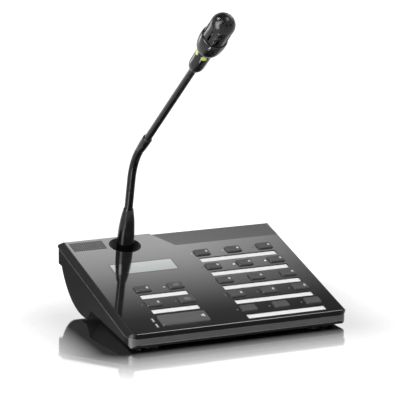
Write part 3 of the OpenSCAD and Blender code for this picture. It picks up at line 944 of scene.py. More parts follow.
def merged(node: str) -> bmesh.types.BMesh:
    """Merged copy of a CAD node's mesh, which remembers the node's normals.

    Args:
        node: the CAD node.

    Returns:
        The mesh, with the normals on its corners.
    """
    source = frame["nodes"][node].data
    normals = [n.vector.copy() for n in source.corner_normals]
    bm = bmesh.new()
    bm.from_mesh(source)
    kept = bm.loops.layers.float_vector.new("kept_normal")
    for face in bm.faces:
        face.material_index = 0
        for loop in face.loops:
            loop[kept] = normals[loop.index]
    bmesh.ops.remove_doubles(bm, verts=bm.verts, dist=WELD)
    return bm


def shell_from(
    node: str, name: str, up: object, side: object, axis: Vector, facing: float, reach: float = -1.0
) -> bpy.types.Object:
    """Copy of a CAD shell with one finish on what faces an axis and another on the rest.

    Args:
        node: the CAD node.
        name: name of the piece.
        up: finish of the faces that face the axis.
        side: finish of the other faces.
        axis: the direction.
        facing: least cosine between a face and the axis for the first finish.
        reach: least place of such a face along the axis.

    Returns:
        The object.
    """
    bm = merged(node)
    for face in bm.faces:
        near = face.calc_center_median().dot(axis) > reach
        face.material_index = 0 if near and face.normal.dot(axis) > facing else 1
    mesh = mesh_of(name, bm)
    kept = mesh.attributes["kept_normal"]
    normals = [Vector(entry.vector) for entry in kept.data]
    mesh.attributes.remove(kept)
    mesh.polygons.foreach_set("use_smooth", [True] * len(mesh.polygons))
    mesh.normals_split_custom_set(normals)
    return object_from(name, mesh, [up, side])


def refined(node: str, name: str, finish: object, bevel: float) -> bpy.types.Object:
    """Copy of a CAD node with merged corners and softened edges.

    Args:
        node: the CAD node.
        name: name of the piece.
        finish: its finish.
        bevel: width of the softened edges.

    Returns:
        The object.
    """
    bm = merged(node)
    bm.loops.layers.float_vector.remove(bm.loops.layers.float_vector["kept_normal"])
    bmesh.ops.dissolve_limit(
        bm, angle_limit=math.radians(FLAT_ANGLE), verts=bm.verts, edges=bm.edges, delimit=set()
    )
    sharp = [e for e in bm.edges if e.is_manifold and e.calc_face_angle(0.0) > math.radians(BEVEL_ANGLE)]
    bmesh.ops.bevel(
        bm, geom=sharp, offset=bevel, offset_type="OFFSET", segments=2, profile=0.5,
        affect="EDGES", clamp_overlap=True,
    )
    bmesh.ops.triangulate(bm, faces=[f for f in bm.faces if len(f.verts) > 4])
    mesh = mesh_of(name, bm)
    smooth(mesh, REFINED_ANGLE)
    obj = object_from(name, mesh, [finish])
    even = obj.modifiers.new("even_normals", "WEIGHTED_NORMAL")
    even.mode, even.weight, even.keep_sharp = "FACE_AREA", 100, True
    return obj


# ---------------------------------------------------------------- places in the frame


def body_of(node: str) -> str:
    """Name of the body that carries a CAD node."""
    return frame["nodes"][node]["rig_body"]


def place(obj: bpy.types.Object, slot: Slot, *nodes: str) -> bpy.types.Object:
    """Sets a piece on the body of the CAD nodes that it stands for.

    Args:
        obj: the piece.
        slot: the record's slot for the piece; not used.
        nodes: the CAD nodes.

    Returns:
        The piece.
    """
    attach(obj, body_of(nodes[0]))
    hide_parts(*nodes)
    log.info("%s stands for %s", obj.name, ", ".join(nodes))
    return obj


def add_on(obj: bpy.types.Object, body: str) -> bpy.types.Object:
    """Sets a piece of its own on a body.

    Args:
        obj: the piece.
        body: the CAD body.

    Returns:
        The piece.
    """
    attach(obj, body)
    log.info("%s rides on %s", obj.name, body)
    return obj


def dress(finish: object, *nodes: str) -> None:
    """Gives CAD nodes that keep their shape a finish.

    Args:
        finish: the finish.
        nodes: the CAD nodes.
    """
    for node in nodes:
        for slot in frame["nodes"][node].material_slots:
            slot.material = Finishes.of(finish)
        log.info("%s keeps its shape", node)


# ---------------------------------------------------------------- repeating pieces


class NodeTree(Nodes):
    """Geometry Nodes tree with named inputs, turned into a plain mesh when it is used."""

    def __init__(self, name: str, inputs: dict[str, str]) -> None:
        """Starts the tree.

        Args:
            name: name of the tree.
            inputs: names of the inputs and the types of their sockets.
        """
        super().__init__(bpy.data.node_groups.new(name, "GeometryNodeTree"))
        face = self.tree.interface
        face.new_socket("Geometry", in_out="INPUT", socket_type="NodeSocketGeometry")
        self.sockets = {
            label: face.new_socket(label, in_out="INPUT", socket_type=kind).identifier
            for label, kind in inputs.items()
        }
        face.new_socket("Geometry", in_out="OUTPUT", socket_type="NodeSocketGeometry")
        self.source = self.add("NodeGroupInput").outputs
        self.target = self.add("NodeGroupOutput").inputs

    def close(self, geometry: Socket) -> None:
        """Ends the tree: real instances, then the finish.

        Args:
            geometry: what has been made.
        """
        real = self.add("GeometryNodeRealizeInstances")
        paint = self.add("GeometryNodeSetMaterial")
        self.link(geometry, real.inputs["Geometry"])
        self.link(real.outputs["Geometry"], paint.inputs["Geometry"])
        self.link(self.source["Finish"], paint.inputs["Material"])
        self.link(paint.outputs["Geometry"], self.target["Geometry"])

    def run(self, host: bpy.types.Object, values: dict[str, object], matrix: Matrix) -> bpy.types.Object:
        """Runs the tree on an object and keeps the result as a plain mesh.

        Args:
            host: object whose mesh goes in.
            values: values of the named inputs.
            matrix: where the result goes.

        Returns:
            The host with its new mesh.
        """
        modifier = host.modifiers.new(self.tree.name, "NODES")
        modifier.node_group = self.tree
        for label, value in values.items():
            modifier[self.sockets[label]] = value
        graph = bpy.context.evaluated_depsgraph_get()
        mesh = bpy.data.meshes.new_from_object(host.evaluated_get(graph))
        host.modifiers.remove(modifier)
        mesh.materials.clear()
        mesh.materials.append(values["Finish"])
        mesh.transform(matrix)
        smooth(mesh)
        host.data = mesh
        return host


class ScatterTree(NodeTree):
    """Sets one shape on every point of a mesh, all turned the same way."""

    def __init__(self) -> None:
        """Builds the tree."""
        super().__init__("scatter", {
            "Shape": "NodeSocketObject", "Turn": "NodeSocketVector", "Finish": "NodeSocketMaterial",
        })
        points = self.add("GeometryNodeMeshToPoints")
        shape = self.add("GeometryNodeObjectInfo")
        turn = self.add("FunctionNodeEulerToRotation")
        spread = self.add("GeometryNodeInstanceOnPoints")
        self.link(self.source["Geometry"], points.inputs["Mesh"])
        self.link(self.source["Shape"], shape.inputs["Object"])
        self.link(self.source["Turn"], turn.inputs[0])
        self.link(points.outputs["Points"], spread.inputs["Points"])
        self.link(shape.outputs["Geometry"], spread.inputs["Instance"])
        self.link(turn.outputs[0], spread.inputs["Rotation"])
        self.close(spread.outputs["Instances"])

    def spread(
        self, name: str, shape: bpy.types.Object, points: Ring, finish: object, turn: float = 0.0
    ) -> bpy.types.Object:
        """Spreads a shape over points.

        Args:
            name: name of the piece.
            shape: what is repeated, removed afterwards.
            points: where it goes.
            finish: the finish of them all.
            turn: how far each one is turned about x.

        Returns:
            The piece.
        """
        mesh = bpy.data.meshes.new(name)
        mesh.from_pydata(points, [], [])
        host = linked(name, mesh)
        values = {"Shape": shape, "Turn": (turn, 0.0, 0.0), "Finish": Finishes.of(finish)}
        self.run(host, values, Matrix.Identity(4))
        bpy.data.objects.remove(shape)
        return host


class PerforationTree(NodeTree):
    """Fills the middle of a frame with a grid of pierced tiles."""

    def __init__(self) -> None:
        """Builds the tree."""
        super().__init__("perforation", {
            "Tile": "NodeSocketObject", "Columns": "NodeSocketInt", "Rows": "NodeSocketInt",
            "Width": "NodeSocketFloat", "Depth": "NodeSocketFloat", "Finish": "NodeSocketMaterial",
        })
        grid = self.add("GeometryNodeMeshGrid")
        tile = self.add("GeometryNodeObjectInfo")
        spread = self.add("GeometryNodeInstanceOnPoints")
        both = self.add("GeometryNodeJoinGeometry")
        for label, socket in (
            ("Columns", "Vertices X"), ("Rows", "Vertices Y"), ("Width", "Size X"), ("Depth", "Size Y")
        ):
            self.link(self.source[label], grid.inputs[socket])
        self.link(self.source["Tile"], tile.inputs["Object"])
        self.link(grid.outputs["Mesh"], spread.inputs["Points"])
        self.link(tile.outputs["Geometry"], spread.inputs["Instance"])
        self.link(self.source["Geometry"], both.inputs["Geometry"])
        self.link(spread.outputs["Instances"], both.inputs["Geometry"])
        self.close(both.outputs["Geometry"])


# ---------------------------------------------------------------- sub-assemblies


@dataclass
class Housing:
    """Polished top shell, satin lower shell, feet and screws."""

    # Top shell faces that face out of the panel less than this take the darker rim copy of the lacquer, as
    # painted shade.
    panel_facing: float = 0.72
    # Lower shell faces that face forward this much, and lie far enough forward, take the lighter front copy
    # as painted light; the rest take the darker copy as painted shade.
    front_axis: Triple = (0.0, -1.0, 0.8)
    front_facing: float = 0.38
    front_reach: float = 40.0 * MM
    foot_r: float = 6 * MM
    foot_h: float = 2.5 * MM
    foot_round: float = 0.7 * MM
    foot_rim: float = 2 * MM
    foot_hollow: Span = (2.4 * MM, 0.35 * MM)
    foot_steps: int = 40
    half_w: float = 115 * MM
    back_q: float = 194 * MM
    front_r: float = 12 * MM
    back_r: float = 4 * MM
    corner_steps: int = 8
    # The thin light pieces along the joint and the crease are painted highlights.
    joint_n: float = -5.5 * MM
    joint_gap: float = 0.02 * MM
    bead_w: float = 0.6 * MM
    bead_in: float = 0.15 * MM
    front_y: float = -69.0 * MM
    crease_z: float = 6.6 * MM
    crease_r: float = 0.45 * MM
    crease_tip: float = 0.1 * MM
    crease_fade: float = 2 * MM
    crease_sides: int = 12
    strip_q: float = 159.5 * MM
    strip_end: float = -2 * MM
    strip_slant: float = 15.7 / 35.5
    strip_more: float = 4 / 29.5
    strip_fall: float = 3 / 28
    strip_near: float = 0.3 * MM
    end_reach: float = 2.5 * MM
    edge_x: float = 111.2 * MM
    edge_q: float = 190.6 * MM

    def build(self, scatter: ScatterTree) -> None:
        """Makes the shells and spreads the feet.

        Args:
            scatter: the tree that repeats the feet.
        """
        top = shell_from(
            "top_shell", "panel_shell", Finishes.panel, Finishes.rim, PANEL.out, self.panel_facing
        )
        self.trim_strip(top.data)
        base = shell_from(
            "bottom_shell", "base_shell", Finishes.front_lit, Finishes.base,
            Vector(self.front_axis).normalized(), self.front_facing, self.front_reach,
        )
        place(top, Slot.GLOSS, "top_shell")
        place(base, Slot.BASE, "bottom_shell")
        self.joint_bead()
        self.crease_bead()
        self.feet(scatter)
        dress(Finishes.steel, "housing_screws", "board_screws")

    def trim_strip(self, mesh: bpy.types.Mesh) -> None:
        """Slants the end of the lowered strip and draws its outer edge in to the panel's edge.

        Args:
            mesh: mesh of the top shell.
        """
        to_panel = PANEL.matrix().inverted()
        for vertex in mesh.vertices:
            x, q, n = to_panel @ vertex.co
            along = q - self.strip_q
            if along <= 0:
                continue
            end = self.strip_end - along * self.strip_slant
            if abs(x - end) < self.end_reach:
                vertex.co = PANEL.matrix(x - along * self.strip_more, q, n).translation
            elif x > end and abs(n + along * self.strip_fall) < self.strip_near:
                q = min(q, self.edge_q)
                n = max(n, -(q - self.strip_q) * self.strip_fall)
                vertex.co = PANEL.matrix(min(x, self.edge_x), q, n).translation

    def plan(self, inset: float, n: float) -> Ring:
        """Outline of the joint between the shells.

        Args:
            inset: how far it is set in.
            n: its height over the panel.

        Returns:
            The points, counterclockwise.
        """
        radii = (self.back_r, self.back_r, self.front_r, self.front_r)
        ring = []
        for k, ((sx, sy), r) in enumerate(zip(QUADRANTS, radii)):
            reach = r - inset
            x = sx * (self.half_w - r)
            q = (self.back_q - inset if sy > 0 else inset) - sy * reach
            for i in range(self.corner_steps + 1):
                a = math.radians(90 * (k + i / self.corner_steps))
                ring.append(PANEL.matrix(x + reach * math.cos(a), q + reach * math.sin(a), n).translation)
        return ring

    def joint_bead(self) -> None:
        """Makes the thin light bead along the joint between the shells, a painted highlight on the joint's
        edge.
        """
        low, high = self.joint_n - self.bead_w, self.joint_n - self.joint_gap
        near, far = self.bead_in, self.bead_in + self.bead_w
        steps = [(near, low), (near, high), (far, high), (far, low), (near, low)]
        bm = bmesh.new()
        loft(bm, [self.plan(inset, n) for inset, n in steps], caps=False)
        bmesh.ops.remove_doubles(bm, verts=bm.verts, dist=TINY)
        add_on(piece_from("joint_bead", bm, [Finishes.painted_highlight]), "console")

    def crease_bead(self) -> None:
        """Makes the thin light rod along the crease under the front, a painted highlight on the crease."""
        at = Matrix.Translation((0.0, self.front_y, self.crease_z))
        turn = at @ Matrix.Rotation(math.radians(90), 4, "Y")
        end = self.half_w - self.front_r
        full = end - self.crease_fade
        tip, r = self.crease_tip, self.crease_r
        steps = [(-end, tip), (-full, r), (full, r), (end, tip)]
        bm = bmesh.new()
        loft(bm, [[turn @ p for p in circle_ring(wide, z, self.crease_sides)] for z, wide in steps])
        add_on(piece_from("crease_bead", bm, [Finishes.painted_highlight]), "console")

    def feet(self, scatter: ScatterTree) -> None:
        """Spreads the rubber feet where the frame has them.

        Args:
            scatter: the tree that repeats them.
        """
        low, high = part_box("rubber_feet")
        r, (hollow_in, hollow_h) = self.foot_r, self.foot_hollow
        outline = [
            (0.0, hollow_h), (r - hollow_in, hollow_h), (r - self.foot_rim, 0.0), (r, 0.0), (r, self.foot_h),
            (0.0, self.foot_h),
        ]
        shape = turned("foot_shape", rounded(outline, self.foot_round), self.foot_steps, Finishes.rubber)
        ys = (low.y + r, high.y - r)
        points = [Vector((s * (high.x - r), y, 0.0)) for s in (-1, 1) for y in ys]
        place(scatter.spread("feet", shape, points, Finishes.rubber), Slot.RUBBER, "rubber_feet")


@dataclass
class SpeakerUnit:
    """Pierced insert of the panel and the loudspeaker under it."""

    x: float = -89 * MM
    q: float = 176 * MM
    w: float = 37 * MM
    d: float = 20 * MM
    corner: float = 0.8 * MM
    thick: float = 1.5 * MM
    columns: int = 17
    rows: int = 6
    slot_w: float = 1.2 * MM
    slot_len: float = 2.6 * MM
    slot_steps: int = 4
    lip: float = 1.5 * MM
    edge: float = 0.12 * MM
    # Insert faces that face out of the panel less than this are slot walls, painted near-black as shade.
    wall_facing: float = 0.9

    @property
    def pitch(self) -> Span:
        """Distances between slots across and up the slope."""
        w, d = self.w - 2 * self.lip - self.slot_w, self.d - 2 * self.lip - self.slot_len
        return w / (self.columns - 1), d / (self.rows - 1)

    def build(self) -> None:
        """Makes the insert and dresses the speaker."""
        across, along = self.pitch
        tile = self.tile(across, along)
        insert = self.border(across * self.columns, along * self.rows)
        PerforationTree().run(insert, {
            "Tile": tile, "Columns": self.columns, "Rows": self.rows,
            "Width": across * (self.columns - 1), "Depth": along * (self.rows - 1),
            "Finish": Finishes.of(Finishes.panel),
        }, PANEL.matrix(self.x, self.q))
        bpy.data.objects.remove(tile)
        self.paint_slot_shade(insert.data)
        place(insert, Slot.GLOSS, "speaker_grille")
        dress(Finishes.cone, "speaker_cone")
        dress(Finishes.metal, "speaker_magnet")
        dress(Finishes.satin, "speaker_frame")

    def paint_slot_shade(self, mesh: bpy.types.Mesh) -> None:
        """Gives the walls of the slots the near-black matt dish finish, as painted shade in the slots.

        Args:
            mesh: the insert's mesh.
        """
        out = PANEL.out
        mesh.materials.append(Finishes.of(Finishes.dish))
        for face in mesh.polygons:
            face.material_index = int(abs(face.normal.dot(out)) < self.wall_facing)

    def pierced(self, bm: bmesh.types.BMesh, outer: Ring, inner: Ring, z: float, up: bool) -> None:
        """Flat face between an outer and an inner ring.

        Args:
            bm: the mesh that gets it.
            outer: outer ring.
            inner: inner ring.
            z: height of the face.
            up: whether it faces up.
        """
        edges = []
        for ring in (outer, inner):
            verts = [bm.verts.new(p) for p in at_height(ring, z)]
            edges += [bm.edges.new((a, b)) for a, b in zip(verts, verts[1:] + verts[:1])]
        filled = bmesh.ops.triangle_fill(bm, edges=edges, use_beauty=True, use_dissolve=False)
        for face in (g for g in filled["geom"] if isinstance(g, bmesh.types.BMFace)):
            face.normal_update()
            if (face.normal.z > 0) != up:
                face.normal_flip()

    def sheet(
        self, name: str, outer: Ring, inner: Ring, soft: Ring, walls: list[list[tuple[Ring, float]]]
    ) -> bpy.types.Object:
        """Pierced plate between two rings.

        Args:
            name: name of the object.
            outer: outer ring.
            inner: inner ring.
            soft: inner ring at the top face, a little larger where its edge is softened.
            walls: rows of rings and their heights that close the plate's sides.

        Returns:
            The object.
        """
        bm = bmesh.new()
        self.pierced(bm, outer, soft, 0.0, True)
        self.pierced(bm, outer, inner, -self.thick, False)
        for wall in walls:
            loft(bm, [at_height(ring, z) for ring, z in wall], caps=False)
        bmesh.ops.remove_doubles(bm, verts=bm.verts, dist=TINY)
        return linked(name, mesh_of(name, bm))

    def tile(self, across: float, along: float) -> bpy.types.Object:
        """One cell of the insert, pierced by a slot.

        Args:
            across: width of the cell.
            along: depth of the cell.

        Returns:
            The object.
        """
        w, d, r, steps, more = self.slot_w, self.slot_len, self.slot_w / 2, self.slot_steps, self.edge
        inner = round_ring(w, d, r, 0.0, steps)
        soft = round_ring(w + 2 * more, d + 2 * more, r + more, 0.0, steps)
        wall = [(soft, 0.0), (inner, -self.edge), (inner, -self.thick)]
        return self.sheet("slot_tile", square_ring(across, along), inner, soft, [wall])

    def border(self, w: float, d: float) -> bpy.types.Object:
        """Frame of the insert round the width and depth of its cells."""
        outer, inner = round_ring(self.w, self.d, self.corner, 0.0), square_ring(w, d)
        return self.sheet("speaker_insert", outer, inner, inner, [[(outer, -self.thick), (outer, 0.0)]])


@dataclass
class DisplayUnit:
    """Display flush in its window, with a painted border."""

    x: float = -50.3 * MM
    q: float = 124.1 * MM
    w: float = 64 * MM
    d: float = 19.5 * MM
    lip: float = 1.5 * MM
    thick: float = 1.5 * MM
    edge: float = 0.15 * MM
    edge_more: float = 1.3
    corner: float = 1.2 * MM
    corner_fall: float = 0.3

    def build(self) -> None:
        """Makes the window and dresses the display."""
        w, d = self.w + 2 * self.lip, self.d + 2 * self.lip
        steps = soft_side(-self.thick, self.edge) + [(self.edge_more * self.edge, 0.0), (self.lip, 0.0)]
        bm = bmesh.new()
        loft(bm, [
            round_ring(w - 2 * a, d - 2 * a, self.corner - self.corner_fall * a, z) for a, z in steps
        ], 1)
        bm.faces.ensure_lookup_table()
        for cap in bm.faces[:2]:
            cap.material_index = 0
        finishes = [Finishes.display, Finishes.panel]
        cover = piece_from("display_cover", bm, finishes, PANEL.matrix(self.x, self.q))
        place(cover, Slot.DISPLAY, "display_window")
        dress(Finishes.display, "lcd_glass")
        dress(Finishes.satin, "lcd_frame")


@dataclass
class LabelStrips:
    """White label cards under clear covers."""

    zone_w: float = 82.3 * MM
    function_w: float = 49 * MM
    d: float = 8.4 * MM
    shift: float = 14.125 * MM
    low: float = -0.94 * MM
    edge: float = 0.15 * MM
    corner: float = 0.6 * MM

    def build(self, keys: "KeyField") -> None:
        """Makes the covers and dresses the cards.

        Args:
            keys: the keys that the labels lie in front of.
        """
        self.covers("zone", self.zone_w, keys.zone_x, [keys.row_q(row) for row in range(keys.rows)])
        self.covers("function", self.function_w, keys.left_x, [keys.row_q(row) for row in keys.function_rows])
        dress(Finishes.paper, "zone_labels", "function_labels")

    def covers(self, group: str, w: float, x: float, rows: list[float]) -> None:
        """Makes the clear covers of one group.

        Args:
            group: name of the group.
            w: width of a cover.
            x: its place across the panel.
            rows: places of the key rows behind the labels.
        """
        bm = bmesh.new()
        for q in rows:
            at = PANEL.matrix(x, q - self.shift)
            loft(bm, [
                [at @ p for p in round_ring(w - 2 * a, self.d - 2 * a, self.corner, z)]
                for a, z in soft_side(self.low, self.edge)
            ])
        place(piece_from(f"{group}_covers", bm, [Finishes.clear]), Slot.CLEAR, f"{group}_label_covers")


@dataclass
class KeyCap:
    """Moulded key: crowned cap, flange under the panel and stem."""

    w: float = 16 * MM
    d: float = 10.6 * MM
    rise: float = 1.6 * MM
    corner: float = 1.6 * MM
    corner_fall: float = 0.6
    least_corner: float = 0.3 * MM
    corner_steps: int = 6
    low: float = -3.05 * MM
    flange_t: float = 1.2 * MM
    flange_w: float = 1.2 * MM
    stem_r: float = 1.6 * MM
    stem_end: float = -9.2 * MM
    stem_sides: int = 20
    # Insets in metres and heights as shares of the rise.
    crown: tuple[Span, ...] = (
        (0.12 * MM, 0.55), (0.3 * MM, 0.8), (0.45 * MM, 0.93), (0.65 * MM, 0.985), (0.95 * MM, 1.0),
    )
    side_top: float = 0.3 * MM
    # Insets as shares of the half width and depths of the dished top.
    dished: tuple[Span, ...] = ((0.5, 0.06 * MM), (0.85, 0.1 * MM))
    # Width, depth and corner of the printed marks, and their places.
    dot: Triple = (2.0 * MM, 3.4 * MM, 0.8 * MM)
    dot_in: float = 3.2 * MM
    dot_y: float = 0.2 * MM
    bar: Triple = (6.4 * MM, 0.7 * MM, 0.2 * MM)
    bar_x: float = 0.5 * MM
    bar_ys: Triple = (-1.6 * MM, 0.0, 1.6 * MM)
    horn: tuple[Span, ...] = ((0.0, -1.0), (1.2, -1.0), (3.4, -2.8), (3.4, 2.8), (1.2, 1.0), (0.0, 1.0))
    horn_in: float = 6.5 * MM
    mark_span: Span = (-0.12 * MM, 0.05 * MM)

    def skin(self, finish: object, mark: Mark) -> tuple[bmesh.types.BMesh, list[object]]:
        """Makes the key on the origin, z out of the panel.

        Args:
            finish: finish of the cap.
            mark: what is printed on its top.

        Returns:
            The mesh and its finishes.
        """
        half, under = min(self.w, self.d) / 2, self.low - self.flange_t
        steps = [(-self.flange_w, under), (-self.flange_w, self.low), (0.0, self.low), (0.0, self.side_top)]
        steps += [(inset, share * self.rise) for inset, share in self.crown]
        steps += [(share * half, self.rise - depth) for share, depth in self.dished]
        rings = []
        for inset, z in steps:
            corner = max(self.least_corner, self.corner - self.corner_fall * inset)
            rings.append(round_ring(self.w - 2 * inset, self.d - 2 * inset, corner, z, self.corner_steps))
        bm = bmesh.new()
        loft(bm, rings)
        loft(bm, [circle_ring(self.stem_r, z, self.stem_sides) for z in (self.stem_end, under)])
        finishes = [finish]
        if mark is not Mark.NONE:
            finishes.append(Finishes.print_grey if mark is Mark.BARS else Finishes.print_white)
            for ring in self.mark(mark):
                loft(bm, [at_height(ring, self.rise + z) for z in self.mark_span], 1)
        return bm, finishes

    def mark(self, mark: Mark) -> list[Ring]:
        """Outlines of a printed mark.

        Args:
            mark: which mark.

        Returns:
            Rings in the plane of the key's top.
        """
        right = self.w / 2
        if mark is Mark.HORN:
            return [[Vector((right - self.horn_in + x * MM, y * MM, 0.0)) for x, y in self.horn]]
        if mark is Mark.DOT:
            size, spots = self.dot, [(right - self.dot_in, self.dot_y)]
        else:
            size, spots = self.bar, [(self.bar_x, y) for y in self.bar_ys]
        return [[p + Vector((x, y, 0.0)) for p in round_ring(*size, 0.0)] for x, y in spots]


@dataclass
class KeyField:
    """Zone keys, function keys and the talk key."""

    zone_x: float = 51.6 * MM
    left_x: float = -51.8 * MM
    zone_pitch: float = 33.9 * MM
    function_pitch: float = 34.5 * MM
    pitch_q: float = 28.85 * MM
    first_q: float = 138.9 * MM
    talk_q: float = 18.725 * MM
    columns: int = 3
    rows: int = 5
    function_columns: int = 2
    function_rows: tuple[int, int] = (2, 3)
    small: KeyCap = field(default_factory=KeyCap)
    talk: KeyCap = field(default_factory=lambda: KeyCap(w=49 * MM, d=18.6 * MM, corner=1.8 * MM))

    def row_q(self, row: int) -> float:
        """Place of a row up the slope."""
        return self.first_q - row * self.pitch_q

    def places(self) -> dict[str, Span]:
        """Places of the small keys.

        Returns:
            Place across and up the slope by CAD node.
        """
        groups = (
            ("zone", self.zone_x, self.zone_pitch, self.columns, range(self.rows)),
            ("function", self.left_x, self.function_pitch, self.function_columns, self.function_rows),
        )
        spots = {}
        for group, middle, pitch, columns, rows in groups:
            grid = [(row, column) for row in rows for column in range(columns)]
            for number, (row, column) in enumerate(grid, 1):
                x = middle + (column - (columns - 1) / 2) * pitch
                spots[f"{group}_key_{number}"] = (x, self.row_q(row))
        return spots

    def mark_of(self, node: str) -> Mark:
        """Mark of a small key: dots, bars on the right function keys, none on the last row.

        Args:
            node: the key's CAD node.

        Returns:
            The mark.
        """
        number = int(node.split("_")[-1])
        if node.startswith("zone"):
            return Mark.NONE if number > self.columns * (self.rows - 1) else Mark.DOT
        return Mark.DOT if number % self.function_columns else Mark.BARS

    def build(self) -> None:
        """Makes every key on its own body."""
        for node, (x, q) in self.places().items():
            bm, finishes = self.small.skin(Finishes.key, self.mark_of(node))
            place(piece_from(f"{node}_cap", bm, finishes, PANEL.matrix(x, q)), Slot.KEY, node)
        bm, finishes = self.talk.skin(Finishes.talk, Mark.HORN)
        cap = piece_from("talk_key_cap", bm, finishes, PANEL.matrix(self.left_x, self.talk_q))
        place(cap, Slot.TALK, "talk_key")


@dataclass
class LampField:
    """Round lamps beside the keys and two upright lamps beside the talk key."""

    shift: float = 11.5 * MM
    r: float = 1.0 * MM
    depth: float = 4.0 * MM
    rise: float = 0.05 * MM
    bulge: float = 0.35
    dome_steps: int = 6
    sides: int = 20
    flange_w: float = 0.6 * MM
    flange_t: float = 1.02 * MM
    talk_w: float = 2.6 * MM
    talk_d: float = 7.4 * MM
    talk_x: float = -81.9 * MM
    talk_qs: Span = (11.525 * MM, 21.925 * MM)
    talk_corner: float = 0.8 * MM
    talk_corner_fall: float = 0.4
    # Insets and heights of the upright lamps in millimetres.
    talk_steps: tuple[Span, ...] = (
        (-0.5, -4.0), (-0.5, -3.0), (0.0, -3.0), (0.0, 0.1), (0.12, 0.22), (0.75, 0.3),
    )
    top_facing: float = 0.998
    bright: tuple[int, ...] = (4, 5)
    faint: tuple[int, ...] = (0, 1, 16)

    def build(self, keys: KeyField, scatter: ScatterTree) -> None:
        """Makes the lamps.

        Args:
            keys: the keys that the lamps stand beside.
            scatter: the tree that repeats the lamps.
        """
        wide, high = self.r + self.flange_w, self.flange_t - self.depth
        outline = [(0.0, -self.depth), (wide, -self.depth), (wide, high), (self.r, high)]
        for k in range(self.dome_steps):
            a = math.radians(90 * k / self.dome_steps)
            outline.append((self.r * math.cos(a), self.rise + self.bulge * self.r * math.sin(a)))
        outline.append((0.0, self.rise + self.bulge * self.r))
        shape = turned("lamp_shape", outline, self.sides, Finishes.lamp)
        points = [PANEL.matrix(x - self.shift, q).translation for x, q in keys.places().values()]
        lamps = scatter.spread("key_lamp_lenses", shape, points, Finishes.lamp, PANEL.tilt)
        self.light(lamps.data, len(points))
        place(lamps, Slot.LAMP, "key_lamps")
        self.talk_lamps(scatter)

    def light(self, mesh: bpy.types.Mesh, count: int) -> None:
        """Lights a few of the lamps.

        Args:
            mesh: all lamps in one mesh, in the order of the keys.
            count: how many there are.
        """
        levels = {lamp: 1 for lamp in self.faint} | {lamp: 2 for lamp in self.bright}
        for finish in (Finishes.lamp_faint, Finishes.lamp_bright):
            mesh.materials.append(Finishes.of(finish))
        share = len(mesh.polygons) // count
        for face in mesh.polygons:
            face.material_index = levels.get(face.index // share, 0)

    def talk_lamps(self, scatter: ScatterTree) -> None:
        """Makes the two upright lamps.

        Args:
            scatter: the tree that repeats them.
        """
        rings = []
        for inset, z in self.talk_steps:
            cut = 2 * inset * MM
            corner = self.talk_corner - self.talk_corner_fall * inset * MM
            rings.append(round_ring(self.talk_w - cut, self.talk_d - cut, corner, z * MM))
        bm = bmesh.new()
        loft(bm, rings)
        shape = piece_from("talk_lamp_shape", bm, [Finishes.talk_lamp])
        points = [PANEL.matrix(self.talk_x, q).translation for q in self.talk_qs]
        lamps = scatter.spread("talk_lamp_lenses", shape, points, Finishes.lamp, PANEL.tilt)
        lamps.data.materials.append(Finishes.of(Finishes.talk_lamp))
        out = PANEL.out
        for face in lamps.data.polygons:
            face.material_index = int(face.normal.dot(out) > self.top_facing)
        place(lamps, Slot.TALK_LAMP, "talk_lamps")


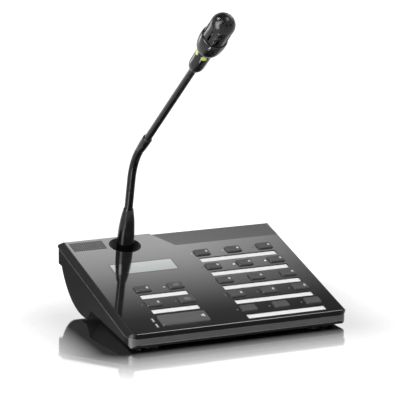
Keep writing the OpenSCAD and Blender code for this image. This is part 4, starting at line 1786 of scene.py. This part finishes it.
@dataclass
class Neck:
    """Dished socket, boot, bendable sleeve in two halves, coupling and tube."""

    socket_r: float = 16 * MM
    socket_gap: float = 0.05 * MM
    socket_lip: float = 1 * MM
    socket_floor: float = 1.2 * MM
    socket_flange: float = 0.6 * MM
    flange_span: Span = (-5 * MM, -3 * MM)
    socket_under: float = 4 * MM
    socket_round: float = 0.5 * MM
    socket_sides: int = 80
    dish: float = 5 * MM
    dish_t: float = 2.5 * MM
    plug_r: float = 4.4 * MM
    plug_gap: float = 0.08 * MM
    plug_wall: float = 3 * MM
    plug_len: float = 11 * MM
    boot_h: float = 40.8 * MM
    boot_r: float = 8.5 * MM
    boot_top: float = 4.9 * MM
    boot_gap: float = 0.05 * MM
    boot_power: float = 2.6
    boot_steps: int = 28
    boot_round: float = 0.4 * MM
    boot_sides: int = 64
    sleeve_r: float = 4.2 * MM
    ring_gap: float = 1.2 * MM
    sides: int = 40
    coupling_r: float = 4.85 * MM
    coupling_len: float = 22 * MM
    coupling_foot: Span = (0.2 * MM, 0.6 * MM)
    coupling_end: Span = (0.8 * MM, 1.6 * MM)
    coupling_round: float = 0.35 * MM
    tube_r: float = 3.6 * MM
    tube_len: float = 130.5 * MM
    tube_t: float = 0.8 * MM
    arm_sides: int = 48

    @property
    def split(self) -> float:
        """Length along the neck where its two halves meet."""
        return (self.boot_h + NECK.length) / 2

    def build(self) -> None:
        """Makes the neck from its socket to its tube."""
        self.socket()
        self.boot()
        lower, upper = ("console", "neck_middle"), ("neck_middle", "mic_arm")
        self.sleeve("sleeve_lower", "flex_neck_lower", -self.dish, self.boot_h, self.split, lower)
        self.sleeve("sleeve_upper", "flex_neck_upper", self.split, self.split, NECK.length, upper)
        self.stiff_arm()
        dress(Finishes.steel, "neck_plug")

    def socket(self) -> None:
        """Makes the dished ring in the panel."""
        lip, bore = self.socket_r - self.socket_gap, self.plug_r + self.plug_gap
        floor, under, end = -self.dish, -self.dish - self.dish_t, -self.dish - self.plug_len
        wall, flange = bore + self.plug_wall, self.socket_r + self.socket_flange
        low, high = self.flange_span
        outline = [
            (lip, 0.0), (lip - self.socket_lip, 0.0), (self.boot_r + self.socket_floor, floor), (bore, floor),
            (bore, end), (wall, end), (wall, under), (self.socket_r - self.socket_under, under),
            (flange, low), (flange, high), (lip, high),
        ]
        ring = turned(
            "socket_ring", rounded(outline, self.socket_round), self.socket_sides, Finishes.dish,
            PANEL.matrix(NECK.foot_x, NECK.foot_q),
        )
        place(ring, Slot.SATIN, "neck_socket")

    def boot(self) -> None:
        """Makes the tapering boot."""
        bore = self.sleeve_r + self.boot_gap
        outline = [(bore, self.boot_h), (bore, -self.dish), (self.boot_r, -self.dish)]
        for i in range(self.boot_steps + 1):
            t = i / self.boot_steps
            r = self.boot_r - (self.boot_r - self.boot_top) * t ** self.boot_power
            outline.append((r, self.boot_h * t))
        boot = turned("boot", rounded(outline, self.boot_round), self.boot_sides, Finishes.boot, NECK.foot())
        place(boot, Slot.SLEEVE, "neck_boot")

    def sleeve(
        self, name: str, node: str, low: float, start: float, end: float, bodies: tuple[str, str]
    ) -> None:
        """Makes one half of the sleeve, fixed in the row frame.

        Args:
            name: name of the piece.
            node: the CAD node that it stands for.
            low: where the half begins along the neck.
            start: where it begins to bend; not used.
            end: where it ends.
            bodies: the bodies below and above.
        """
        count = max(2, round((end - low) / self.ring_gap))
        rings = []
        for i in range(count + 1):
            at = NECK.at(low + (end - low) * i / count)
            rings.append([at @ p for p in circle_ring(self.sleeve_r, 0.0, self.sides)])
        bm = bmesh.new()
        loft(bm, rings)
        obj = piece_from(name, bm, [Finishes.sleeve])
        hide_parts(node)
        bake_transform(obj)
        log.info("%s bends between %s and %s", name, *bodies)

    def stiff_arm(self) -> None:
        """Makes the coupling and the tube."""
        c, r, arm, sides = self.coupling_len, self.coupling_r, NECK.arm(), self.arm_sides
        (foot_more, foot_h), (end_in, end_h) = self.coupling_foot, self.coupling_end
        outline = [
            (0.0, 0.0), (self.sleeve_r, 0.0), (self.sleeve_r + foot_more, foot_h), (r, 0.5 * c),
            (r, c - end_h), (r - end_in, c), (0.0, c),
        ]
        coupling = turned("coupling", rounded(outline, self.coupling_round), sides, Finishes.satin, arm)
        place(coupling, Slot.SATIN, "neck_coupling")
        inner, top = self.tube_r - self.tube_t, c + self.tube_len
        outline = [(inner, c), (self.tube_r, c), (self.tube_r, top), (inner, top)]
        place(turned("tube", outline, sides, Finishes.tube, arm), Slot.TUBE, "neck_tube")


@dataclass
class MicHead:
    """Cup with lit windows, flared cup and domed grille with the capsule in it."""

    foot_z: float = 151 * MM
    foot_h: float = 10 * MM
    foot_rim: float = 0.7 * MM
    foot_bore: float = 4.6 * MM
    foot_steps: int = 14
    tube_r: float = 3.65 * MM
    light_r: float = 7.8 * MM
    window_z: float = 178.3 * MM
    window_w: float = 5.6 * MM
    window_h: float = 5.4 * MM
    window_r: float = 2.4 * MM
    window_turn: float = 26.5
    windows: int = 5
    # Insets and heights of the lenses in millimetres.
    lens_steps: tuple[Span, ...] = (
        (0.0, -1.2), (0.0, 0.02), (0.25, 0.12), (0.8, 0.16), (1.6, 0.18), (2.3, 0.18),
    )
    cup_z: float = 182.5 * MM
    cup_foot: float = 0.2 * MM
    cup_floor: float = 2 * MM
    cup_steps: int = 20
    cup_gap: float = 0.05 * MM
    lip_z: float = 206 * MM
    lip_r: float = 13.2 * MM
    lip_h: float = 5 * MM
    # How far the lip is drawn in and how far below its top, step by step.
    lip_steps: tuple[Span, ...] = ((0.35 * MM, 0.7 * MM), (0.8 * MM, 0.0))
    mic_r: float = 11.7 * MM
    seat: float = 8 * MM
    edge: float = 0.18 * MM
    rounding: float = 0.3 * MM
    sides: int = 64

    def build(self) -> None:
        """Makes the head's pieces."""
        self.light_cup()
        self.lenses()
        self.cup()
        place(refined("mic_grille", "mic_dome", Finishes.dome, self.edge), Slot.METAL, "mic_grille")
        dress(Finishes.steel, "mic_capsule")
        dress(Finishes.rubber, "capsule_mount")

    def satin_cup(self, name: str, outline: Profile, node: str) -> None:
        """Makes a turned cup of the head, which stands for a CAD node."""
        cup = turned(name, rounded(outline, self.rounding), self.sides, Finishes.satin, NECK.arm())
        place(cup, Slot.SATIN, node)

    def light_cup(self) -> None:
        """Makes the cup with the windows, round below."""
        foot, bore = self.foot_z, self.foot_z + self.foot_bore
        outline = [(0.0, bore), (self.tube_r, bore), (self.tube_r, foot)]
        outline += flare(
            (self.tube_r + self.foot_rim, foot), (self.light_r, foot + self.foot_h), self.foot_steps
        )
        self.satin_cup("window_cup", outline + [(self.light_r, self.cup_z), (0.0, self.cup_z)], "light_cup")

    def lenses(self) -> None:
        """Makes the lit lenses in the windows."""
        bm = bmesh.new()
        for k in range(self.windows):
            turn = math.radians(self.window_turn + 360 * k / self.windows)
            rings = []
            for inset, out in self.lens_steps:
                r, cut = self.light_r + out * MM, 2 * inset * MM
                flat = round_ring(self.window_w - cut, self.window_h - cut, self.window_r - cut / 2, 0.0)
                spots = [(turn + p.x / self.light_r, self.window_z + p.y) for p in flat]
                rings.append([Vector((r * math.cos(a), r * math.sin(a), z)) for a, z in spots])
            loft(bm, rings)
        place(piece_from("window_lenses", bm, [Finishes.glow], NECK.arm()), Slot.GLOW, "light_ring")

    def cup(self) -> None:
        """Makes the flared cup, drawn in a little at its lip."""
        low, high = self.cup_z, self.lip_z
        floor, seat = low + self.cup_floor, high - self.seat
        bore, floor_r = self.mic_r + self.cup_gap, self.light_r - self.cup_floor
        outline = [(0.0, low)]
        outline += flare((self.light_r - self.cup_foot, low), (self.lip_r, high - self.lip_h), self.cup_steps)
        outline += [(self.lip_r - inset, high - drop) for inset, drop in self.lip_steps]
        outline += [(bore, high), (bore, seat), (floor_r, seat), (floor_r, floor), (0.0, floor)]
        self.satin_cup("flared_cup", outline, "mic_cup")


@dataclass
class LineSocket:
    """Network socket in the rear wall with its row of contacts."""

    edge: float = 0.2 * MM
    contacts: int = 8
    pitch: float = 1.02 * MM
    contact_w: float = 0.45 * MM
    contact_t: float = 0.2 * MM
    contact_len: float = 8 * MM
    contact_drop: float = 2.2 * MM
    contact_steps: int = 6
    contact_in: float = 2.4 * MM
    contact_down: float = 1.6 * MM

    def build(self, scatter: ScatterTree) -> None:
        """Softens the socket and spreads the contacts in it.

        Args:
            scatter: the tree that repeats the contacts.
        """
        place(refined("line_jack", "line_socket", Finishes.satin, self.edge), Slot.SATIN, "line_jack")
        rings = []
        for k in range(self.contact_steps + 1):
            t = k / self.contact_steps
            y, z = -self.contact_len * t, -self.contact_drop * math.sin(math.pi * 0.5 * t)
            rings.append([Vector((p.x, y, z + p.y)) for p in square_ring(self.contact_w, self.contact_t)])
        bm = bmesh.new()
        loft(bm, rings)
        shape = piece_from("contact_shape", bm, [Finishes.gold])
        low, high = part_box("line_jack")
        first = (low.x + high.x) / 2 - (self.contacts - 1) / 2 * self.pitch
        y, z = high.y - self.contact_in, high.z - self.contact_down
        points = [Vector((first + i * self.pitch, y, z)) for i in range(self.contacts)]
        contacts = scatter.spread("socket_contacts", shape, points, Finishes.gold)
        add_on(contacts, body_of("line_jack"))


@dataclass
class InnerWorks:
    """Circuit board and switches out of sight."""

    def build(self) -> None:
        """Dresses what keeps its shape inside."""
        dress(Finishes.board, "main_board")
        dress(Finishes.inner, "key_switches")


# ---------------------------------------------------------------- studio


@dataclass(frozen=True)
class Lamp:
    """Soft lamp that faces the station; some only show in shiny surfaces."""

    name: str
    spot: Triple
    power: float
    w: float
    h: float
    sheen_only: bool = False
    aim: Triple = (0.0, 0.0, 0.08)

    def build(self) -> None:
        """Hangs the lamp."""
        data = bpy.data.lights.new(self.name, "AREA")
        data.shape, data.size, data.size_y, data.energy = "RECTANGLE", self.w, self.h, self.power
        lamp = linked(self.name, data)
        lamp.location = self.spot
        lamp.visible_diffuse = lamp.visible_camera = not self.sheen_only
        lamp.rotation_euler = (Vector(self.aim) - Vector(self.spot)).to_track_quat("-Z", "Y").to_euler()


@dataclass
class Studio:
    """Camera, pale floor, soft lamps and the sky that the lacquer mirrors."""

    eye: Triple = (-1.02834, -2.315115, 0.776427)
    yaw: float = 0.4133
    pitch: float = 0.2534
    roll: float = 0.0091
    lens: float = 245.17
    sensor: float = 36.0
    clip: Span = (0.05, 60.0)
    floor_size: float = 14.0
    floor_colour: Colour = (0.45, 0.45, 0.45)
    floor_lift: float = 0.72
    floor_ior: float = 1.45
    floor_rough: Span = (0.45, 0.55)
    mirror_rough: Span = (0.04, 0.07)
    dust: float = 6.0
    polish_near: float = 0.015
    polish_reach: float = 0.11
    polish_power: float = 1.1
    polish_x: Span = (-0.120, 0.110)
    polish_y: Span = (-0.056, 0.05)
    card_x: Span = (0.05, 0.85)
    card_q: Span = (0.515, 1.465)
    card_n: float = 0.35
    card_fall: Span = (0.2894, 0.433)
    card_right: float = 0.56
    card_edge: Span = (0.47, 0.63)
    card_last: float = 0.75
    # Places up the card and their grey levels.
    card_levels: tuple[Span, ...] = (
        (0.567, 0.09), (0.603, 0.13), (0.624, 0.25), (0.652, 0.50), (0.683, 0.81), (0.722, 1.29),
        (0.757, 1.63), (0.779, 1.80), (0.810, 1.85), (1.265, 1.05), (1.465, 0.95),
    )
    ambient: float = 0.42
    box_turn: float = math.radians(30)
    box_edge: Span = (0.1, 0.6)
    # Heights over the horizon in degrees and their grey levels, in front and behind.
    near_sky: tuple[Span, ...] = ((0.0, 0.95), (32.0, 0.95), (44.0, 0.22), (90.0, 0.22))
    far_sky: tuple[Span, ...] = (
        (0.0, 1.0), (20.0, 1.0), (27.0, 0.75), (34.0, 0.45), (44.0, 0.15), (90.0, 0.25)
    )
    # Name, place, power, width and height.
    lamps: tuple[Lamp, ...] = (
        Lamp("key_lamp", (-1.5, -1.2, 1.7), 36.0, 1.3, 1.3),
        Lamp("fill_lamp", (1.6, 0.9, 1.4), 8.0, 1.2, 1.2),
        Lamp("edge_lamp", (0.7, -0.65, 1.55), 9.0, 0.6, 0.6),
        Lamp("side_lamp", (-0.75, -0.30, 0.35), 13.0, 0.42, 0.7, sheen_only=True),
        Lamp("corner_lamp", (-0.75, 0.0, 1.35), 9.0, 0.15, 0.15, sheen_only=True),
        Lamp("back_lamp", (-0.67, 1.33, 0.3), 3.0, 0.25, 0.6),
    )

    def build(self) -> None:
        """Sets up the view."""
        self.camera()
        self.floor()
        self.card()
        self.world()
        for lamp in self.lamps:
            lamp.build()
        bpy.context.scene.view_settings.view_transform = "Standard"
        log.info("studio is set")

    def camera(self) -> None:
        """Sets the camera at the photograph's angle."""
        level = math.cos(self.pitch)
        ahead = Vector((math.sin(self.yaw) * level, math.cos(self.yaw) * level, -math.sin(self.pitch)))
        right = Vector((math.cos(self.yaw), -math.sin(self.yaw), 0.0))
        up = right.cross(ahead)
        x = math.cos(self.roll) * right + math.sin(self.roll) * up
        y = -math.sin(self.roll) * right + math.cos(self.roll) * up
        data = bpy.data.cameras.new("camera")
        data.lens, data.sensor_width = self.lens, self.sensor
        data.clip_start, data.clip_end = self.clip
        camera = linked("camera", data)
        turn = Matrix((x, y, -ahead)).transposed().to_4x4()
        camera.matrix_world = Matrix.Translation(self.eye) @ turn
        bpy.context.scene.camera = camera

    def sheet(self, name: str, corners: Ring, material: bpy.types.Material) -> bpy.types.Object:
        """Flat piece of the stage.

        Args:
            name: name of the piece.
            corners: its four corners.
            material: its material.

        Returns:
            The object.
        """
        mesh = bpy.data.meshes.new(name)
        mesh.from_pydata(corners, [], [(0, 1, 2, 3)])
        mesh.materials.append(material)
        obj = linked(name, mesh)
        return obj

    def floor(self) -> None:
        """Lays a pale, slightly polished floor that takes the shadow."""
        graph = Graph("floor_white")
        dust = graph.noise(self.dust)
        graph.feed("Roughness", graph.span(dust, *self.floor_rough))
        graph.constants({
            "Base Color": (*self.floor_colour, 1.0), "IOR": self.floor_ior, "Emission Color": WHITE,
        })
        path = graph.add("ShaderNodeLightPath").outputs
        seen = graph.math("MAXIMUM", path["Is Camera Ray"], path["Is Glossy Ray"])
        seen = graph.math("MAXIMUM", seen, path["Is Transmission Ray"])
        graph.feed("Emission Strength", graph.math("MULTIPLY", seen, self.floor_lift))
        mirror = graph.add("ShaderNodeBsdfGlossy")
        graph.link(graph.span(dust, *self.mirror_rough), mirror.inputs["Roughness"])
        both = graph.add("ShaderNodeMixShader")
        graph.link(self.nearness(graph), both.inputs[0])
        graph.link(graph.shader.outputs["BSDF"], both.inputs[1])
        graph.link(mirror.outputs["BSDF"], both.inputs[2])
        graph.link(both.outputs[0], graph.output.inputs["Surface"])
        self.sheet("floor", square_ring(self.floor_size, self.floor_size), graph.material)

    def nearness(self, graph: Graph) -> Socket:
        """Share of the mirror in the floor, which fades away from the console.

        Args:
            graph: the floor's material.

        Returns:
            The value socket.
        """
        split = graph.add("ShaderNodeSeparateXYZ")
        graph.link(graph.coords, split.inputs[0])
        away = []
        for label, (low, high) in (("X", self.polish_x), ("Y", self.polish_y)):
            shift = graph.math("SUBTRACT", split.outputs[label], (low + high) / 2)
            reach = graph.math("SUBTRACT", graph.math("ABSOLUTE", shift), (high - low) / 2)
            beyond = graph.math("MAXIMUM", reach)
            away.append(graph.math("MULTIPLY", beyond, beyond))
        far = graph.math("SQRT", graph.math("ADD", *away))
        fade = graph.span(far, 1.0, 0.0, self.polish_near, self.polish_reach)
        return graph.math("POWER", fade, self.polish_power)

    def card(self) -> None:
        """Hangs a card behind the station, graded from dark to light, that the panel mirrors."""
        graph = Graph("card_white")
        split = graph.add("ShaderNodeSeparateXYZ")
        shift = PANEL.matrix().inverted().translation
        graph.link(graph.mapped(turn=-PANEL.tilt, shift=shift), split.inputs[0])
        across, along = split.outputs["X"], split.outputs["Y"]
        low, high = self.card_q
        levels = [((q - low) / (high - low), level) for q, level in self.card_levels]
        graph.feed("Emission Color", graph.greys(graph.span(along, 0.0, 1.0, low, high), levels))
        fall = graph.span(across, 1.0, self.card_right, *self.card_fall)
        last = graph.span(across, 1.0, self.card_last, *self.card_edge)
        graph.feed("Emission Strength", graph.math("MULTIPLY", fall, last))
        graph.constants({"Base Color": (0.0, 0.0, 0.0, 1.0), "Specular IOR Level": 0.0})
        left, right = self.card_x
        corners = [
            PANEL.matrix(x, q, self.card_n).translation
            for x, q in ((left, low), (left, high), (right, high), (right, low))
        ]
        card = self.sheet("card", corners, graph.material)
        card.visible_camera = card.visible_diffuse = card.visible_shadow = False

    def world(self) -> None:
        """Makes the sky: white to the camera, a soft box to mirrors, a plain glow to the rest."""
        world = bpy.data.worlds.new("studio_sky")
        bpy.context.scene.world = world
        world.use_nodes = True
        nodes = Nodes(world.node_tree)
        nodes.tree.nodes.clear()
        facing = nodes.add("ShaderNodeMapping", {"Rotation": (0.0, 0.0, self.box_turn)})
        split = nodes.add("ShaderNodeSeparateXYZ")
        nodes.link(nodes.add("ShaderNodeTexCoord").outputs["Generated"], facing.inputs["Vector"])
        nodes.link(facing.outputs["Vector"], split.inputs[0])
        near, far = (
            nodes.greys(split.outputs["Z"], [(math.sin(math.radians(h)), level) for h, level in levels])
            for levels in (self.near_sky, self.far_sky)
        )
        path = nodes.add("ShaderNodeLightPath").outputs
        boxed = nodes.mix(nodes.span(split.outputs["Y"], 0.0, 1.0, *self.box_edge), near, far)
        glow = (self.ambient, self.ambient, self.ambient, 1.0)
        mirrored = nodes.mix(path["Is Glossy Ray"], glow, boxed)
        seen = nodes.math("MAXIMUM", path["Is Camera Ray"], path["Is Transmission Ray"])
        light = nodes.add("ShaderNodeBackground")
        nodes.link(nodes.mix(seen, mirrored, WHITE), light.inputs["Color"])
        nodes.link(light.outputs[0], nodes.add("ShaderNodeOutputWorld").inputs["Surface"])


def main() -> None:
    """Builds the station piece by piece."""
    logging.basicConfig(level=logging.INFO, format="%(name)s: %(message)s")
    Studio().build()
    scatter = ScatterTree()
    keys = KeyField()
    Housing().build(scatter)
    SpeakerUnit().build()
    DisplayUnit().build()
    LabelStrips().build(keys)
    keys.build()
    LampField().build(keys, scatter)
    Neck().build()
    MicHead().build()
    LineSocket().build(scatter)
    InnerWorks().build()


if __name__ == "__main__":
    main()
